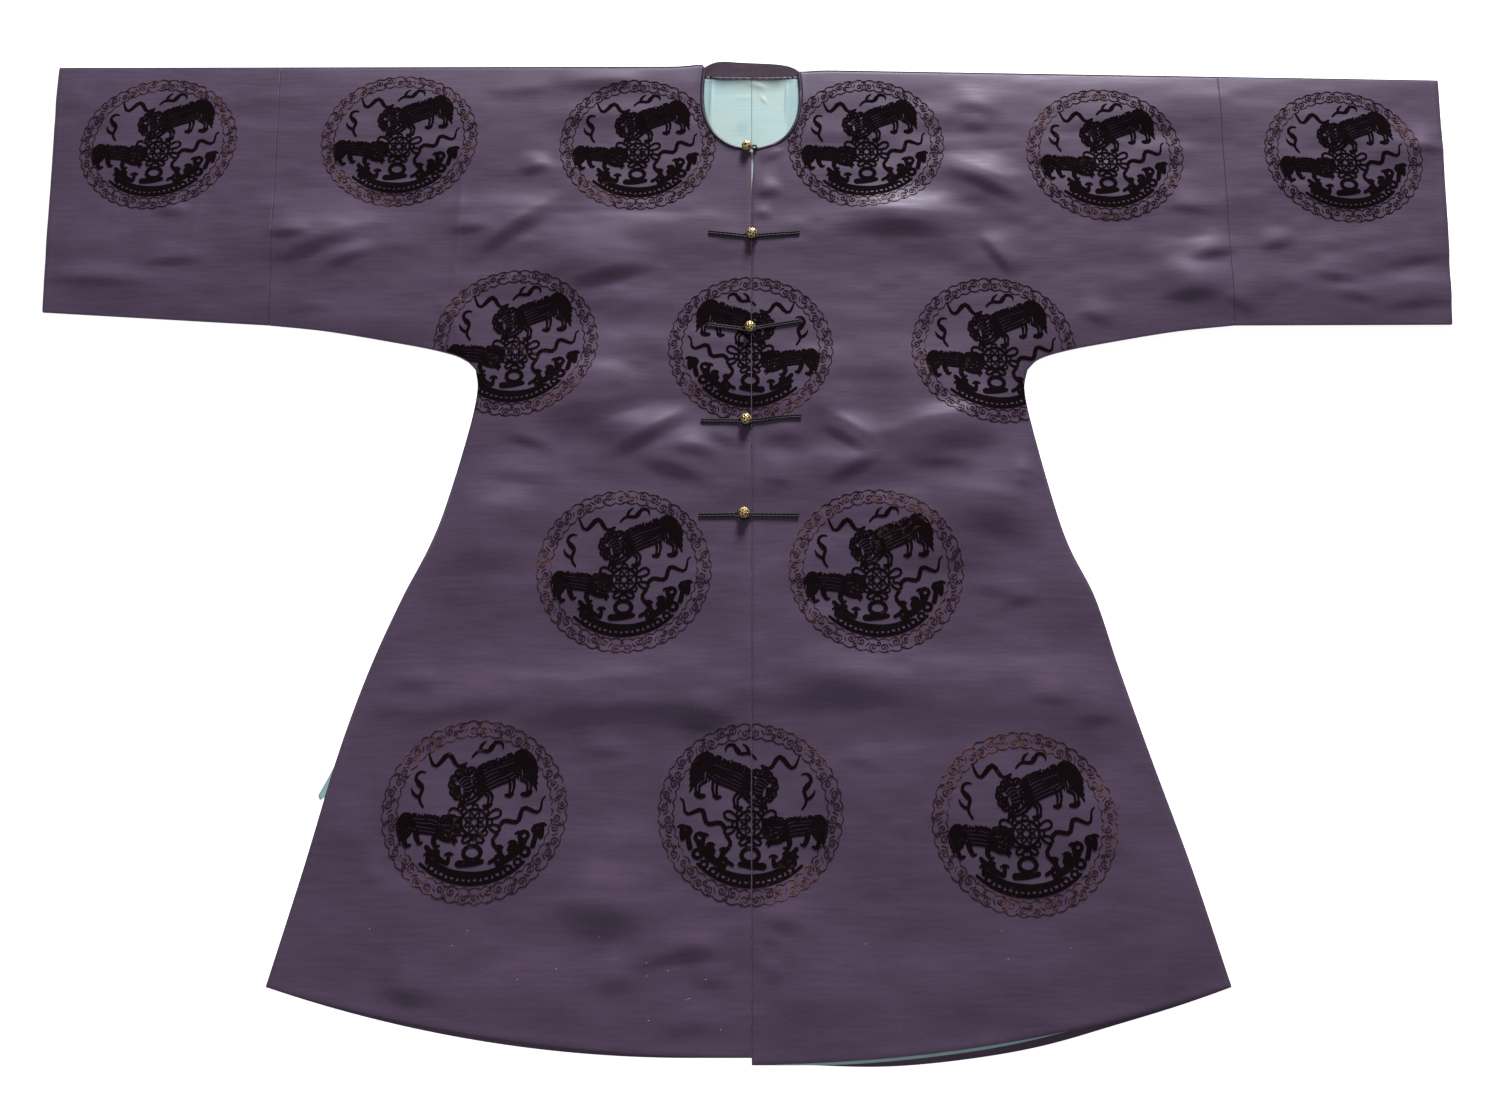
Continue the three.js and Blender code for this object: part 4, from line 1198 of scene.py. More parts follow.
# Stroke sampled evenly, with one more point beyond each end where it narrows to a rounded tip.
# Returns its middle line, the way across it and its half width at each point.
def strokeLine(widths, points, spacing):
    fine = throughPoints(points, strokeSamples * len(points))
    travel = np.insert(np.cumsum(np.linalg.norm(np.diff(fine, axis=0), axis=1)), 0, 0)
    count = max(3, int(travel[-1] / spacing) + 2)
    even = np.linspace(0, travel[-1], count)
    line = np.column_stack([np.interp(even, travel, fine[:, k]) for k in (0, 1)])
    half = np.interp(np.linspace(0, 1, count), [0, 0.5, 1], widths) / 2
    along = np.gradient(line, axis=0)
    along /= np.linalg.norm(along, axis=1)[:, None] + 1e-9
    first = line[0] - along[0] * half[0] * strokeTip["reach"]
    last = line[-1] + along[-1] * half[-1] * strokeTip["reach"]
    line = np.vstack([first, line, last])
    along = np.vstack([along[0], along, along[-1]])
    half = np.concatenate([[half[0] * strokeTip["width"]], half, [half[-1] * strokeTip["width"]]])
    return line, np.column_stack([-along[:, 1], along[:, 0]]), half


# Keeps a pile's points on their panel: inside its middle edge, the side seam and the sleeve's under edge
def keptInside(half, out, y, inner, margin):
    out = np.maximum(out, inner(half, y) + margin)
    low = -y > armpitDown
    out = np.where(low, np.minimum(out, sideOut(half, y) - margin), out)
    y = np.where(~low & (out > armpitOut), np.maximum(y, underSleeveY(half, out) + margin), y)
    return out, y


def onPanel(half, out, y, inner):
    beside = np.where(-y > armpitDown, sideOut(half, y) - out, 1.0)
    below = np.where((-y <= armpitDown) & (out > armpitOut), y - underSleeveY(half, out), 1.0)
    return (out > inner(half, y)) & (beside > 0) & (below > 0)


# The stagger sets strokes a little apart in height, so that tops that cross seldom lie in one plane
pile = {
    "radius": 95, "rise": 0.6, "sink": 0.25, "stagger": 0.08, "underRise": 0.17, "underSink": 0.15,
    "underStagger": 0.03, "levels": 11, "bevel": 0.25, "margin": 0.3,
}


# Strokes laid on one panel as raised pile with a flat top: each is a four-cornered bar along its line
def makePile(name, half, strokes, centre, mirrored, material, spacing, underneath=False):
    turn = -1 if mirrored else 1
    inner = backEdge if underneath else frontEdge
    size = pile["radius"] / 100
    rows, faces, rises, count = [], [], [], 0
    for number, (widths, points) in enumerate(strokes):
        step = (spacing["base"] + spacing["wide"] * max(widths)) * spacing["scale"]
        line, across, halfWidth = strokeLine(widths, points, step)
        line = line * [turn * size, size] + centre
        across = across * [turn, 1]
        out = half["side"] * line[:, 0]
        inside = onPanel(half, out, line[:, 1], inner)
        # one more point at each cut end, which keptInside() draws back to the edge
        inside = inside | np.append(inside[1:], False) | np.insert(inside[:-1], 0, False)
        starts = np.flatnonzero(np.diff(np.concatenate([[0], inside, [0]])) == 1)
        ends = np.flatnonzero(np.diff(np.concatenate([[0], inside, [0]])) == -1)
        for a, b in zip(starts, ends):
            if b - a < 2:
                continue
            reach = across[a:b] * (halfWidth[a:b] * size)[:, None]
            shrink = 1 - pile["bevel"] / np.maximum(halfWidth[a:b] * size, 2 * pile["bevel"])
            inset = reach * shrink[:, None]
            corners = [line[a:b] - reach, line[a:b] + reach, line[a:b] + inset, line[a:b] - inset]
            rows.append(np.stack(corners, axis=1).reshape(-1, 2))
            length = b - a
            rises.append(np.full(length * 4, (number * 7 % pile["levels"]) / pile["levels"]))
            ring = gridFaces(length, 4, loop=True)
            caps = np.array([[0, 3, 2, 1], [0, 1, 2, 3]]) + np.array([[0], [(length - 1) * 4]])
            faces.append(np.vstack([ring[:, ::-1], caps[:, ::-1]]) + count)
            count += length * 4
    if not rows:
        return None
    flat = np.vstack(rows)
    rise = np.concatenate(rises)
    out, y = keptInside(half, half["side"] * flat[:, 0], flat[:, 1], inner, pile["margin"])
    isTop = np.tile([False, False, True, True], len(flat) // 4)
    if underneath:
        low = backHeight - cloth["shell"] / 2
        z = np.where(isTop, low - pile["underRise"] + pile["underStagger"] * rise, low + pile["underSink"])
    else:
        top = frontHeight(half, out, y) + cloth["shell"] / 2
        z = np.where(isTop, top + pile["rise"] + pile["stagger"] * rise, top - pile["sink"])
    faces = np.vstack(faces)
    if (turn * (-1 if underneath else 1)) < 0:
        faces = faces[:, ::-1]
    piece = meshFrom(name, np.column_stack([half["side"] * out, y, z]), faces, material, smooth=False)
    return finishPiece(piece, "silk")


# Where the roundels lie: column and row in the loom's repeat, and how far each strays in the lying cloth.
# Those on the front's middle are woven in two halves and turned the other way round.
repeat = {"column": 284, "row": 272, "first": 119}
roundels = [
    dict(name="sleeve_right", column=-2.5, row=0, stray=(-4, 0), panels=("right",)),
    dict(name="shoulder_right", column=-1.5, row=0, stray=(2, 5), panels=("right",)),
    dict(name="neck_right", column=-0.5, row=0, stray=(5, -1), panels=("right",)),
    dict(name="neck_left", column=0.5, row=0, stray=(-4, 0), panels=("left",)),
    dict(name="shoulder_left", column=1.5, row=0, stray=(-2, -16), panels=("left",)),
    dict(name="sleeve_left", column=2.5, row=0, stray=(0, -18), panels=("left",)),
    dict(name="side_right", column=-1, row=1, stray=(15, -1), panels=("right",)),
    dict(name="chest", column=0, row=1, stray=(-1, -8), panels=("right", "left"), mirrored=True),
    dict(name="side_left", column=1, row=1, stray=(-8, -10), panels=("left",)),
    dict(name="skirt_right", column=-0.5, row=2, stray=(5, -8), panels=("right",)),
    dict(name="skirt_left", column=0.5, row=2, stray=(-8, -8), panels=("left",)),
    dict(name="hem_right", column=-1, row=3, stray=(3, 2), panels=("right",)),
    dict(name="hem_middle", column=0, row=3, stray=(-1, 0), panels=("right", "left"), mirrored=True),
    dict(name="hem_left", column=1, row=3, stray=(-8, -10), panels=("left",)),
]
# How far apart a stroke's points lie: a base, and more on wide strokes.
# The underside has coarser ones, and none is furrowed.
frontSpacing = {"base": 2.2, "wide": 0.4, "scale": 1.0}
backSpacing = {"base": 2.2, "wide": 0.4, "scale": 3.4}
broadPicture = pictureStrokes()
picture = [line for stroke in broadPicture for line in furrowed(*stroke)]
borderLines = borderStrokes()
piles = {name: [] for name in (*bodies, *(f"sleeve_{n}" for n in sleeves))}
for roundel in roundels:
    centre = (roundel["column"] * repeat["column"] + roundel["stray"][0],
              roundel["stray"][1] - repeat["first"] - roundel["row"] * repeat["row"])
    for panel in roundel["panels"]:
        part = f"_{panel}" if len(roundel["panels"]) > 1 else ""
        owner = f"sleeve_{panel}" if roundel["name"].startswith("sleeve") else panel
        for side, spacing, underneath in (("front", frontSpacing, False), ("back", backSpacing, True)):
            lionLines = broadPicture if underneath else picture
            woven = (("lions", lionLines, velvetMaterial), ("border", borderLines, ringMaterial))
            for kind, strokes, material in woven:
                piece = makePile(f"{kind}_{side}_{roundel['name']}{part}", halves[panel], strokes, centre,
                                 bool(roundel.get("mirrored")), material, spacing, underneath)
                if piece:
                    piles[owner].append(piece)
print("roundels made:", sum(len(p) for p in piles.values()), "pieces,",
      sum(len(o.data.polygons) * 2 for p in piles.values() for o in p), "triangles")


# Faces of a closed bar: quads round it and over its two ends. Its section has an even number of corners.
def barFaces(rows, corners):
    ring = gridFaces(rows, corners, loop=True)
    k = np.arange(corners // 2 - 1)
    cap = np.stack([k, k + 1, corners - 2 - k, corners - 1 - k], axis=-1)
    return np.vstack([ring, cap[:, ::-1], cap + (rows - 1) * corners])


# A profile carried along a path and kept upright: u points to the path's right and v up. Flat arrays of both.
def carried(path, u, v):
    along = np.gradient(path, axis=0)
    along /= np.linalg.norm(along, axis=1)[:, None]
    side = np.cross(along, [0, 0, 1])
    side /= np.linalg.norm(side, axis=1)[:, None]
    lift = np.cross(side, along)
    return path[:, None, :] + side[:, None, :] * u[..., None] + lift[:, None, :] * v[..., None]


pathSamples = 24


# Path through the points, sampled evenly by length
def evenPath(points, spacing):
    fine = throughPoints(points, pathSamples * len(points))
    travel = np.insert(np.cumsum(np.linalg.norm(np.diff(fine, axis=0), axis=1)), 0, 0)
    even = np.linspace(0, travel[-1], int(travel[-1] / spacing) + 2)
    return np.column_stack([np.interp(even, travel, fine[:, k]) for k in range(3)]), even


# Map of a bar: u once round it, v its length over the pitch. Faces that close the round get u past 1.
def addAlongMap(piece, faces, corners, travel, pitch):
    around = np.tile(np.arange(corners) / corners, len(travel))
    length = np.repeat(travel / pitch, corners)
    u, v = around[faces], length[faces]
    closing = (u.max(axis=1) - u.min(axis=1)) > 0.5
    u = np.where(closing[:, None] & (u < 0.5), u + 1, u)
    layer = piece.data.uv_layers.new(name="along")
    layer.data.foreach_set("uv", np.stack([u, v], axis=-1).astype(np.float32).ravel())


cordPitch = 7.0
leastTip = 0.02


# A silk cord: a circle carried along a path. Its radius ripples as threads wind round it, and tapers at both
# ends as a quarter circle.
def makeCord(name, points, width, height, material, corners=12, spacing=0.9, strands=3, pitch=cordPitch,
             ripple=0.05):
    path, travel = evenPath(points, spacing)
    angle = 2 * np.pi * np.arange(corners)[None, :] / corners
    wound = 1 + ripple * np.cos(strands * (angle - 2 * np.pi * travel[:, None] / pitch))
    fromEnd = np.minimum(travel, travel[-1] - travel)[:, None] / (min(width, height) / 2)
    wound = wound * np.sqrt(np.clip(1 - (1 - np.minimum(fromEnd, 1)) ** 2, leastTip, 1))
    points = carried(path, width / 2 * wound * np.cos(angle), height / 2 * wound * np.sin(angle))
    faces = barFaces(len(path), corners)[:, ::-1]
    piece = meshFrom(name, points, faces, material)
    addAlongMap(piece, faces, corners, travel, pitch)
    return piece


# Height of the cloth's upper side at a place on either front
def clothTop(x, y):
    x, y = np.asarray(x, float), np.asarray(y, float)
    right = frontHeight(halves["right"], np.maximum(-x, openingHalf), y)
    left = frontHeight(halves["left"], np.maximum(x, openingHalf), y)
    return np.where(x < 0, right, left) + cloth["shell"] / 2


# Bindings round the neck: each follows the neck's edge from the opening up to the shoulder
def makeBinding(name, half):
    t = np.linspace(0, 1, binding["archPoints"])
    archPart = lerp(neck["sideY"], neck["frontY"], np.sin((1 - t) * np.pi / 2) ** (2 / neck["powerY"]))
    topY = binding["topY"] + half["neckLift"]
    y = np.concatenate([archPart, np.linspace(neck["sideY"], topY, binding["sidePoints"])[1:]])
    out = np.maximum(neckOut(y), openingHalf + binding["fromOpening"])
    z = np.maximum(frontHeight(half, out + bindingMargin, y), overLining + binding["height"] / 2)
    points = np.column_stack([half["side"] * out, y, z])
    piece = makeCord(f"binding_neck_{name}", points, binding["width"], binding["height"], bindingMaterial,
                     spacing=1.4, strands=2, pitch=60.0, ripple=0.03)
    return finishPiece(piece, "binding", f"neck_binding_{name}")


for name, half in halves.items():
    makeBinding(name, half)

collar = {
    "half": 57, "footY": -19, "topY": -6, "topZ": 13.5, "wall": 1.8, "shell": 1.5,
    "wave": 2.2, "crest": -38, "spread": 16, "bulge": 0.5, "pucker": 0.25, "puckerLength": 7.5,
    "columns": 110, "rows": 9, "span": 18, "endDrop": 0.55, "footBow": 1.5, "topRise": 1.5, "topFall": 4.5,
    "fallFrom": 0.75, "cornerDrop": 3, "puckerFade": 0.35, "shift": 2, "shiftWaves": (20, 20, 4),
}


# Collar band: it leans back from its foot, is lower at both ends and has one soft wave, with fine puckers
def makeCollar():
    lean = math.atan2(collar["topZ"] - backHeight, collar["topY"] - collar["footY"])
    footZ = cloth["wall"] + seamGap + collar["wall"] / 2 * math.cos(lean)
    x = np.linspace(-collar["half"], collar["half"], collar["columns"])[None, :]
    t = edgedShares(collar["rows"], collar["span"])[:, None]
    share = x / collar["half"]
    ends = 1 - collar["endDrop"] * np.abs(share) ** 4
    wave = collar["wave"] * np.exp(-(((x - collar["crest"]) / collar["spread"]) ** 2))
    slope = np.clip((share + collar["fallFrom"]) / (1 + collar["fallFrom"]), 0, 1)
    corner = collar["cornerDrop"] * np.abs(share) ** 8
    topY = collar["topY"] + collar["topRise"] - collar["topFall"] * slope - corner
    y = lerp(collar["footY"] + collar["footBow"] * share**2, topY, t)
    z = lerp(footZ, collar["topZ"] * ends + wave, t)
    shift = collar["shift"] * softNoise(x, x * 0, *collar["shiftWaves"])
    pucker = collar["pucker"] * np.sin(x * 2 * np.pi / collar["puckerLength"] + shift)
    outwards = collar["bulge"] * np.sin(np.pi * t) + pucker * np.exp(-t / collar["puckerFade"])
    points = np.stack([x + 0 * t, y - outwards * math.sin(lean), z + outwards * math.cos(lean)], axis=-1)
    # the band wears the lighter satin, which carries painted light
    piece = meshFrom("band_collar", points, gridFaces(*points.shape[:2]), paintedLightCollarMaterial)
    thicken(piece, collar["shell"])
    finishPiece(piece, "binding", "collar_band")


makeCollar()

# Lining of the back under the neck hole: half width at each height
liningRows = {"y": [-22, -50, -66, -126, -142, -215], "half": [57.6, 59.5, 63, 63, 36, 36]}
neckLining = {
    "columns": 54, "span": 55, "rows": 66, "rise": 0.22, "waves": (24, 40, 6), "edgeDip": 0.08,
    "dipReach": 1.2,
}
liningStrips = {"rightAt": -49, "leftAt": 43, "edge": 0.6, "rightShade": 0.42, "leftShade": 0.36}
# Stains of the lining: x, y, length, width, angle and depth of colour. Its creases have a height instead.
liningStains = [(31, -30, 30, 8, 0, 0.4), (-12, -96, 30, 7, 80, 0.25)]
liningCreases = [(6, -31, 36, 3.5, -21, 1.0), (43, -52, 76, 1.6, 88, 0.9), (-49, -50, 70, 1.6, 87, 0.8),
                 (15, -53, 16, 1.8, -50, 0.6), (-10, -50, 34, 1.6, 1, 0.4)]


# How dark the lining's own colour is, from 0 to 1: a deeper strip at either side, and stains
def liningShade(x, y):
    right = 1 / (1 + np.exp((x - liningStrips["rightAt"]) / liningStrips["edge"]))
    left = 1 / (1 + np.exp((liningStrips["leftAt"] - x) / liningStrips["edge"]))
    strips = liningStrips["rightShade"] * right + liningStrips["leftShade"] * left
    return np.clip(strips + ridgeSum(liningStains, x, y, roundBell), 0, 1)


# A piece of lining from a grid of points and how dark the colour is at each
def liningFrom(name, points, shade, node):
    piece = meshFrom(name, points, gridFaces(*points.shape[:2]), liningMaterial)
    addAttribute(piece, "shade", shade)
    thicken(piece, cloth["liningShell"])
    return finishPiece(piece, "lining", node)


def makeNeckLining(name, half):
    share = edgedShares(neckLining["columns"], neckLining["span"])[None, :]
    y = np.linspace(liningRows["y"][0], liningRows["y"][-1], neckLining["rows"])[:, None]
    width = np.interp(-y, -np.array(liningRows["y"], float), np.array(liningRows["half"], float))
    out = lerp(seamGap / 2, width, share)
    x = half["side"] * out
    y = y + 0 * x
    z = liningHeight + cloth["liningWall"] / 2 + neckLining["rise"] * softNoise(x, y, *neckLining["waves"])
    z -= neckLining["edgeDip"] * np.exp(-out / neckLining["dipReach"])
    z += ridgeSum(liningCreases, x, y, roundBell)
    points = np.stack([x, y, z], axis=-1)
    piece = liningFrom(f"lining_back_neck_{name}", points, liningShade(x, y), f"lining_neck_{name}")


for name, half in halves.items():
    makeNeckLining(name, half)


stitchShape = {"taper": 0.55, "thick": 0.22, "sunk": 0.12}


# Stitches: short bars along a line, each a little arched. The line gives x, y and z at each place.
def makeStitches(name, x, y, z, angle, length, width, rise, material, slot):
    x, y, z, angle = (np.atleast_1d(np.asarray(v, float)) for v in (x, y, z, angle))
    u = np.array([-1, -0.5, 0, 0.5, 1.0])
    arch = (1 - u**2) * rise
    taper = 1 - stitchShape["taper"] * u**2
    corners = np.array([[-1, 0], [-0.5, 1], [0.5, 1], [1, 0]])
    c, s = np.cos(angle)[:, None, None], np.sin(angle)[:, None, None]
    along = (u * length / 2)[None, :, None] + 0 * corners[None, None, :, 0]
    across = (taper * width / 2)[None, :, None] * corners[None, None, :, 0]
    px = x[:, None, None] + along * c - across * s
    py = y[:, None, None] + along * s + across * c
    thick = stitchShape["thick"] * corners[None, None, :, 1]
    pz = z[:, None, None] + arch[None, :, None] + thick - stitchShape["sunk"]
    points = np.stack([px, py, pz], axis=-1).reshape(-1, 3)
    one = barFaces(len(u), len(corners))[:, ::-1]
    each = len(u) * len(corners)
    faces = (one[None] + each * np.arange(x.size)[:, None, None]).reshape(-1, 4)
    return finishPiece(meshFrom(name, points, faces, material, smooth=False), slot)


seamStitch = {
    "pitch": 3.0, "length": 2.3, "width": 0.8, "rise": 0.06, "from": -24, "to": -200, "x": 0.1, "lift": 0.85,
}
stitchY = np.arange(seamStitch["from"], seamStitch["to"], -seamStitch["pitch"])
stitchX, stitchZ, stitchAngle = (
    np.full_like(stitchY, v) for v in (seamStitch["x"], liningHeight + seamStitch["lift"], np.pi / 2)
)
makeStitches("stitches_lining_seam", stitchX, stitchY, stitchZ, stitchAngle,
             seamStitch["length"], seamStitch["width"], seamStitch["rise"], seamThreadMaterial, "lining")

hemLining = {
    "from": 20, "to": 335, "above": 1.5, "width": 15, "columns": 120, "rows": 7, "rise": 0.12,
    "waves": (30, 10, 7), "shade": 0.3, "paler": 0.1,
}


# Lining between the layers at the left hem: a strip that follows the back's hem
def makeHemLining(half):
    out = np.linspace(hemLining["from"], hemLining["to"], hemLining["columns"])[None, :]
    t = np.linspace(0, 1, hemLining["rows"])[:, None]
    corner = float(sideOut(half, np.array(-float(hemCornerDown))))
    y = backHemY(half, out / corner) + hemLining["above"] + t * hemLining["width"]
    x = half["side"] * out + 0 * t
    z = liningHeight + cloth["liningWall"] / 2 + hemLining["rise"] * softNoise(x, y, *hemLining["waves"])
    points = np.stack([x, y, z], axis=-1)
    shade = np.clip(hemLining["shade"] - hemLining["paler"] * t + 0 * x, 0, 1)
    piece = liningFrom("lining_hem", points, shade, "lining_hem_left")


makeHemLining(halves["left"])

sideTab = {
    "topDown": 885, "lowDown": 921, "inset": 0.4, "reach": 8, "wall": 1.2, "rows": 30, "columns": 8,
    "along": [0, 0.5, 0.86, 1], "shares": [0.06, 0.55, 0.97, 0.55], "lift": 3.2, "liftFrom": 0.8,
    "liftReach": 0.2, "above": 0.06, "ripple": 0.12, "shade": 0.25, "deeper": 0.3,
}


# Lining that shows past the right side seam: a narrow tab, widest near its lower end
def makeSideLining(half):
    t = np.linspace(0, 1, sideTab["rows"])[:, None]
    share = np.linspace(0, 1, sideTab["columns"])[None, :]
    down = lerp(sideTab["topDown"] + sideTab["inset"], sideTab["lowDown"] - sideTab["inset"], t)
    reach = sideTab["reach"] * np.interp(t, sideTab["along"], sideTab["shares"])
    out = sideOut(half, -down) + seamGap + share * reach
    lift = np.clip((t - sideTab["liftFrom"]) / sideTab["liftReach"], 0, 1)
    y = -down + sideTab["lift"] * (1 - share) * lift
    z = sideTab["wall"] / 2 + sideTab["above"] + sideTab["ripple"] * np.sin(share * 5 + t * 4)
    points = np.stack([half["side"] * out, y + 0 * out, z + 0 * out], axis=-1)
    shade = sideTab["shade"] + sideTab["deeper"] * share + 0 * t
    piece = liningFrom("lining_side", points, shade, "lining_side_right")


makeSideLining(halves["right"])
print("collar, bindings and linings made")

cord = {
    "radius": 1.1, "spacing": 2.75, "loopRadius": 6.5, "clearance": 0.35, "throat": 3, "mouth": 0.3,
    "past": 2.2, "lower": 3, "besideX": (-1, 0, 1), "besideY": (-1.4, 0, 1.4), "sunk": 0.25, "points": 12,
    "loopPoints": 25, "steep": 0.8, "size": (2.3, 2.2), "winding": {"corners": 10, "spacing": 1.1},
}
ball = {
    "radius": 6.0, "shankRadius": 1.5, "shankLength": 1.2, "shankEnd": 0.3, "shankInto": 0.99, "ribs": 5,
    "relief": 0.09, "windings": 1.15, "turns": 72, "rounds": 44, "fromTop": 0.03, "fromFoot": 0.27,
    "ribLevel": 0.55, "ribEdge": 0.35, "cap": 0.32, "capEdge": 0.1, "beltWidth": 0.07, "beltRise": 0.03,
    "beltCover": 1.5, "beads": 24, "beadLevels": (0.7, 0.3), "down": 1.6, "axis": (0.12, -0.2, 1),
}
# Closures down the front: where each ball lies and how far its two cords reach
closures = [
    dict(name="chest", ballX=0.6, y=-247, rightReach=51, rightRise=4, leftReach=57, leftRise=4),
    dict(name="breast", ballX=-1.7, y=-372, rightReach=52, rightRise=6, leftReach=58, leftRise=11),
    dict(name="waist", ballX=-6, y=-489, rightReach=57, rightRise=0, leftReach=56, leftRise=4),
    dict(name="hip", ballX=-8, y=-603, rightReach=58, rightRise=-1, leftReach=52, leftRise=-1),
]


# Openwork ball: two families of ribs wind over a sphere and cross, with sunk hollows between them that carry
# painted shade for the dark insides of the openings.
# It has a beaded belt and a short shank, and its axis may be turned.
def makeBall(name, centre, axis, node):
    turns = ball["turns"]
    theta = 2 * np.pi * np.arange(turns)[None, :] / turns
    phi = np.linspace(ball["fromTop"], np.pi - ball["fromFoot"], ball["rounds"])[:, None]
    wind = ball["windings"] * 2 * phi
    ribs = ball["ribs"]
    first, second = np.cos(ribs * (theta + wind / 2)), np.cos(ribs * (theta - wind / 2))
    hollow = np.clip((ball["ribLevel"] - np.maximum(first, second)) / ball["ribEdge"], 0, 1)
    hollow = hollow * np.clip((np.sin(phi) - ball["cap"]) / ball["capEdge"], 0, 1)
    level, swing = ball["beadLevels"]
    belt = roundBell((phi - np.pi / 2) / ball["beltWidth"]) * (level + swing * np.cos(ball["beads"] * theta))
    hollow = hollow * (1 - np.clip(belt * ball["beltCover"], 0, 1))
    radius = ball["radius"] * (1 - ball["relief"] * hollow + ball["beltRise"] * belt)
    sphere = np.stack([radius * np.sin(phi) * np.cos(theta), radius * np.sin(phi) * np.sin(theta),
                       radius * np.cos(phi) + 0 * theta], axis=-1)
    shankZ = -ball["radius"] - ball["shankLength"]
    rings = [(ball["shankRadius"], -ball["radius"] * ball["shankInto"]), (ball["shankRadius"], shankZ),
             (ball["shankEnd"], shankZ)]
    c, s = np.cos(theta[0]), np.sin(theta[0])
    tail = [np.stack([r * c, r * s, np.full(turns, z)], axis=-1) for r, z in rings]
    points = np.concatenate([sphere, np.stack(tail)])
    # the hollows carry painted shade for the dark insides of the openings
    dark = np.concatenate([hollow, np.zeros((len(rings), turns))])
    axis = np.array(axis, float) / np.linalg.norm(axis)
    side = np.cross([0, 1, 0], axis)
    side /= np.linalg.norm(side)
    turned = points @ np.stack([side, np.cross(axis, side), axis])
    faces = barFaces(len(points), turns)
    piece = meshFrom(name, turned + centre, faces, giltMaterial)
    addAttribute(piece, "hole", dark)
    return finishPiece(piece, "gilt", node)


# On the wearer's right a doubled cord ends in a loop round the ball. The one on the left holds the ball.
def makeClosure(row):
    name, ballX, y = row["name"], row["ballX"], row["y"] - cord["lower"]
    run, rest = cord["spacing"] / 2, cord["radius"] + cord["clearance"]
    a = np.linspace(0, 2 * np.pi, 24)
    base = float(clothTop(ballX + cord["loopRadius"] * np.cos(a), y + cord["loopRadius"] * np.sin(a)).max())
    shankZ = base + cord["clearance"] + cord["radius"]

    def lay(x, py):
        x = np.asarray(x, float)
        beside = [clothTop(x + dx, py + dy) for dx in cord["besideX"] for dy in cord["besideY"]]
        return np.column_stack([x, py + 0 * x, np.maximum.reduce(beside) + rest - cord["sunk"]])

    t = np.linspace(0, 1, cord["points"])
    loopStart = ballX - cord["loopRadius"] - cord["throat"]
    x = lerp(-row["rightReach"], loopStart, t)
    level = y + row["rightRise"] * (1 - t)
    angle = (np.pi - cord["mouth"]) * (1 - 2 * np.linspace(0, 1, cord["loopPoints"])[1:-1])
    loopX, loopY = ballX + cord["loopRadius"] * np.cos(angle), y + cord["loopRadius"] * np.sin(angle)
    rise = np.minimum(1, cord["steep"] * (1 + np.cos(angle)))
    loop = np.column_stack([loopX, loopY, lerp(base + rest, shankZ + cord["radius"], rise)])
    path = np.vstack([lay(x, level + run), loop, lay(x, level - run)[::-1]])
    piece = makeCord(f"cord_loop_{name}", path, *cord["size"], cordMaterial, **cord["winding"])
    finishPiece(piece, "cord", f"loop_{name}")

    knotEnd = ballX - cord["past"] + 2 * run
    x = lerp(row["leftReach"], knotEnd, t)
    level = y + row["leftRise"] * (1 - t)
    upper, lower = lay(x, level + run), lay(x, level - run)
    low = x < ballX + cord["loopRadius"] + cord["throat"]
    upper[low, 2] = lower[low, 2] = base + rest
    turnPoint = [[knotEnd - run, y, base + rest]]
    path = np.vstack([upper, turnPoint, lower[::-1]])
    piece = makeCord(f"cord_knot_{name}", path, *cord["size"], cordMaterial, **cord["winding"])
    finishPiece(piece, "cord", f"knot_{name}")
    centreZ = shankZ + ball["shankLength"] + ball["radius"] - ball["down"]
    makeBall(f"gilt_ball_{name}", (ballX, y, centreZ), ball["axis"], f"ball_{name}")


for row in closures:
    makeClosure(row)

neckBall = {"x": -6, "y": -125.5, "turn": -22, "dip": 24, "down": 2}
neckRing = {
    "radius": 2.7, "x": 3.4, "y": -126.2, "rows": 32, "corners": 10, "threads": 9, "ripple": 0.06,
    "length": 17,
}


# The top ball lies on its side on the bindings, its shank over a small ring of cord
def makeNeckClosure():
    frontMiddle = float(frontHeight(halves["left"], np.array(bindingMargin), np.array(float(neck["frontY"]))))
    middle = max(frontMiddle, overLining + binding["height"] / 2)
    ringZ = middle + binding["height"] / 2 + cord["clearance"] + cord["radius"]
    rows, corners = neckRing["rows"], neckRing["corners"]
    a = np.linspace(0, 2 * np.pi, rows + 1)[:-1]
    section = 2 * np.pi * np.arange(corners) / corners
    wound = 1 + neckRing["ripple"] * np.cos(neckRing["threads"] * a)[:, None]
    reach = neckRing["radius"] + cord["radius"] * np.cos(section)[None, :] * wound
    lift = cord["radius"] * np.sin(section)[None, :] + 0 * a[:, None]
    points = np.stack([neckRing["x"] + reach * np.cos(a)[:, None], neckRing["y"] + reach * np.sin(a)[:, None],
                       ringZ + lift], axis=-1)
    r, c = np.arange(rows)[:, None], np.arange(corners)[None, :]
    low, high = r * corners, (r + 1) % rows * corners
    after = (c + 1) % corners
    faces = np.stack([low + c, high + c, high + after, low + after], axis=-1).reshape(-1, 4)
    piece = meshFrom("cord_ring_neck", points, faces, cordMaterial)
    addAlongMap(piece, faces, corners, np.linspace(0, neckRing["length"], rows), cordPitch)
    finishPiece(piece, "binding", "loop_neck")
    turn, dip = math.radians(neckBall["turn"]), math.radians(-neckBall["dip"])
    shankWay = np.array([math.cos(turn), math.sin(turn), math.tan(dip)])
    centre = (neckBall["x"], neckBall["y"], ringZ - cord["radius"] + ball["radius"] - neckBall["down"])
    makeBall("gilt_ball_neck", centre, -shankWay, "ball_neck")


makeNeckClosure()

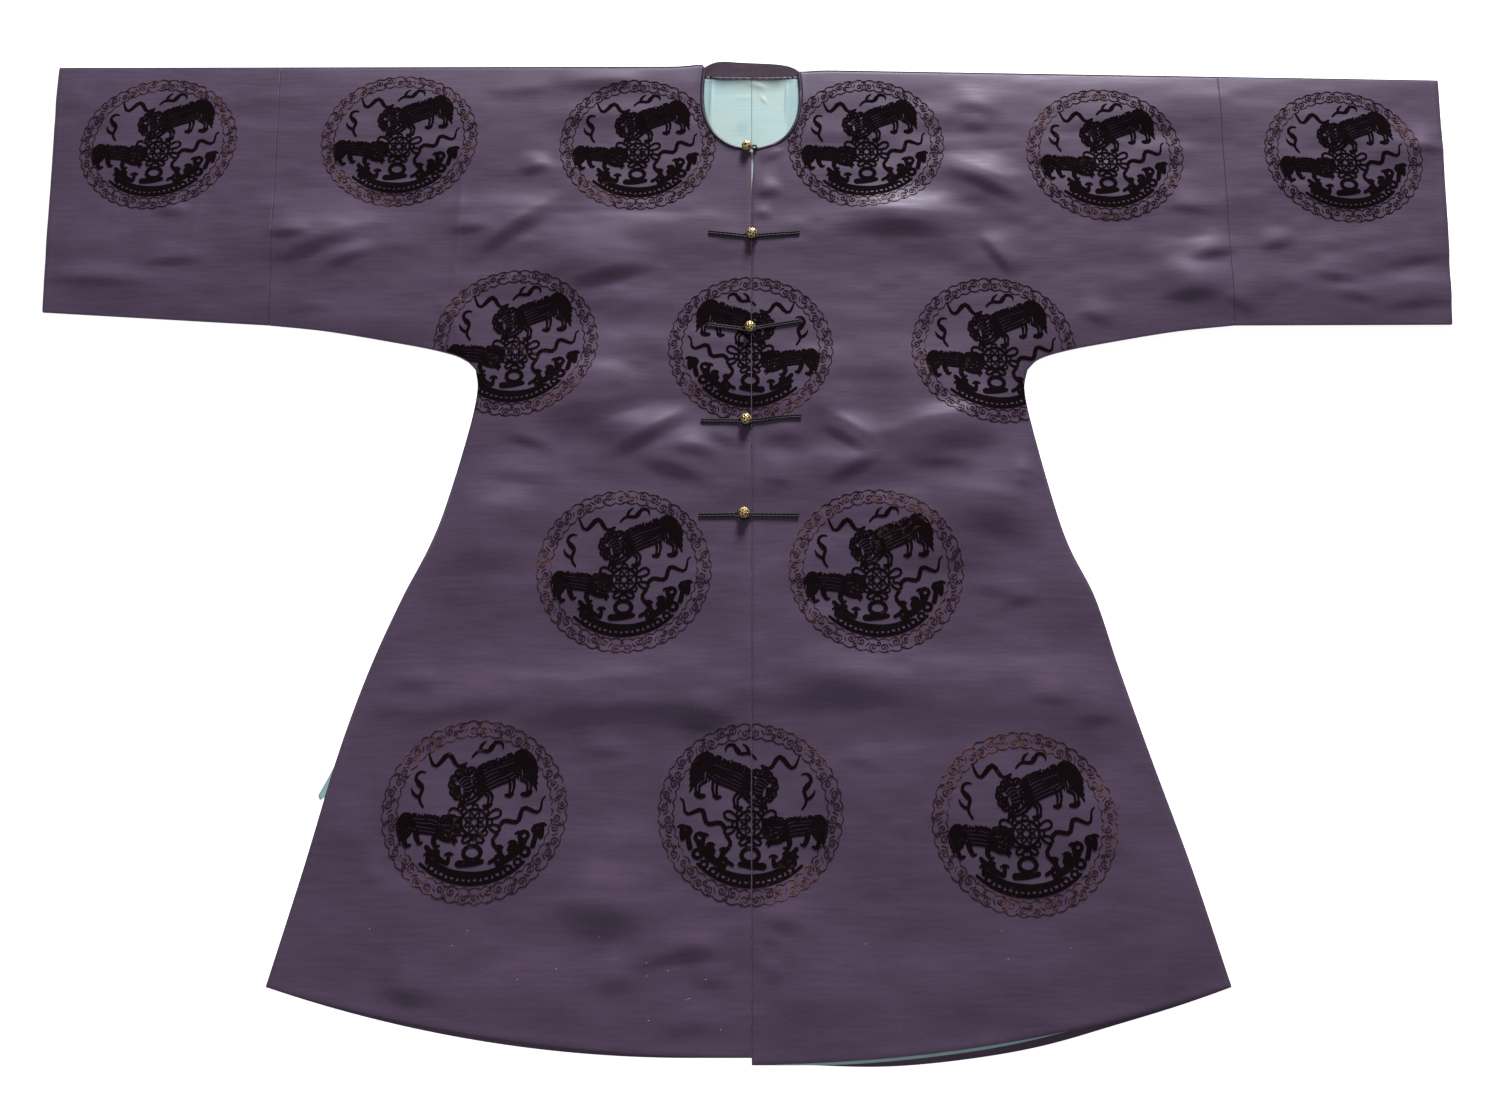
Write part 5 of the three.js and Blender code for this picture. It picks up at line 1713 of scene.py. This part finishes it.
# Bits of lint caught on the lower right of the skirt and a few elsewhere: x, y, spread and how many
lintPlaces = [
    (-150, -1080, 130, 7), (-60, -1130, 60, 4), (-300, -1040, 80, 3), (180, -1060, 150, 4),
    (60, -640, 120, 2),
]
lint = {"seed": 12, "hemY": -1150, "hemRise": 0.12, "lift": 0.15, "length": 1.3, "width": 0.6, "rise": 0.2}


def makeLint():
    rng = np.random.default_rng(lint["seed"])
    x = np.concatenate([rng.normal(cx, spread / 2, n) for cx, cy, spread, n in lintPlaces])
    y = np.concatenate([rng.normal(cy, spread / 4, n) for cx, cy, spread, n in lintPlaces])
    y = np.maximum(y, lint["hemY"] + lint["hemRise"] * np.abs(x))
    angle = rng.uniform(0, np.pi, x.size)
    makeStitches("lint", x, y, clothTop(x, y) + lint["lift"], angle, lint["length"], lint["width"],
                 lint["rise"], lintMaterial, "silk")


makeLint()
print("closures and small details made")

# The floor and the light
floorHalf = 6
floorLook = {
    "Base Color": (0.95, 0.95, 0.95, 1), "Roughness": 0.95, "Emission Color": (1, 1, 1, 1),
    "Emission Strength": 0.75,
}
floorCorners = [(floorHalf * i, floorHalf * j, 0) for i, j in ((-1, -1), (1, -1), (1, 1), (-1, 1))]
floorMesh = bpy.data.meshes.new("floor")
floorMesh.from_pydata(floorCorners, [], [(0, 1, 2, 3)])
floor = bpy.data.objects.new("floor", floorMesh)
floorMaterial = bpy.data.materials.new("white floor")
floorMaterial.use_nodes = True
floorShader = floorMaterial.node_tree.nodes["Principled BSDF"]
for key, value in floorLook.items():
    floorShader.inputs[key].default_value = value
floorMesh.materials.append(floorMaterial)
scene.collection.objects.link(floor)

lights = {
    "key": dict(place=(1.1, 6.2, 2.6), aim=(0, -0.3, 0), size=2.0, power=800),
    "fill": dict(place=(-0.9, -1.9, 2.3), aim=(0, 0.3, 0), size=1.6, power=26),
}
for name, light in lights.items():
    lamp = bpy.data.lights.new(name, "AREA")
    lamp.energy = light["power"]
    lamp.size = light["size"]
    lampObject = bpy.data.objects.new(name, lamp)
    lampObject.location = light["place"]
    away = Vector(light["place"]) - Vector(light["aim"])
    lampObject.rotation_euler = away.to_track_quat("Z", "Y").to_euler()
    scene.collection.objects.link(lampObject)
worldStrength = 0.12
world = bpy.data.worlds.new("studio")
world.use_nodes = True
background = world.node_tree.nodes["Background"].inputs
background["Color"].default_value = (1, 1, 1, 1)
background["Strength"].default_value = worldStrength
scene.world = world
scene.view_settings.view_transform = "Standard"

cameraView = {"height": 1609, "fromNeck": (-1.7, -1295.8), "tilt": 22, "lens": 38.4, "sensor": 36}
camera = bpy.data.objects.new("camera", bpy.data.cameras.new("camera"))
camera.data.lens = cameraView["lens"]
camera.data.sensor_width = cameraView["sensor"]
camera.location = (np.array([*cameraView["fromNeck"], cameraView["height"]]) + origin) * mm
camera.rotation_euler = (math.radians(cameraView["tilt"]), 0, 0)
scene.collection.objects.link(camera)
scene.camera = camera
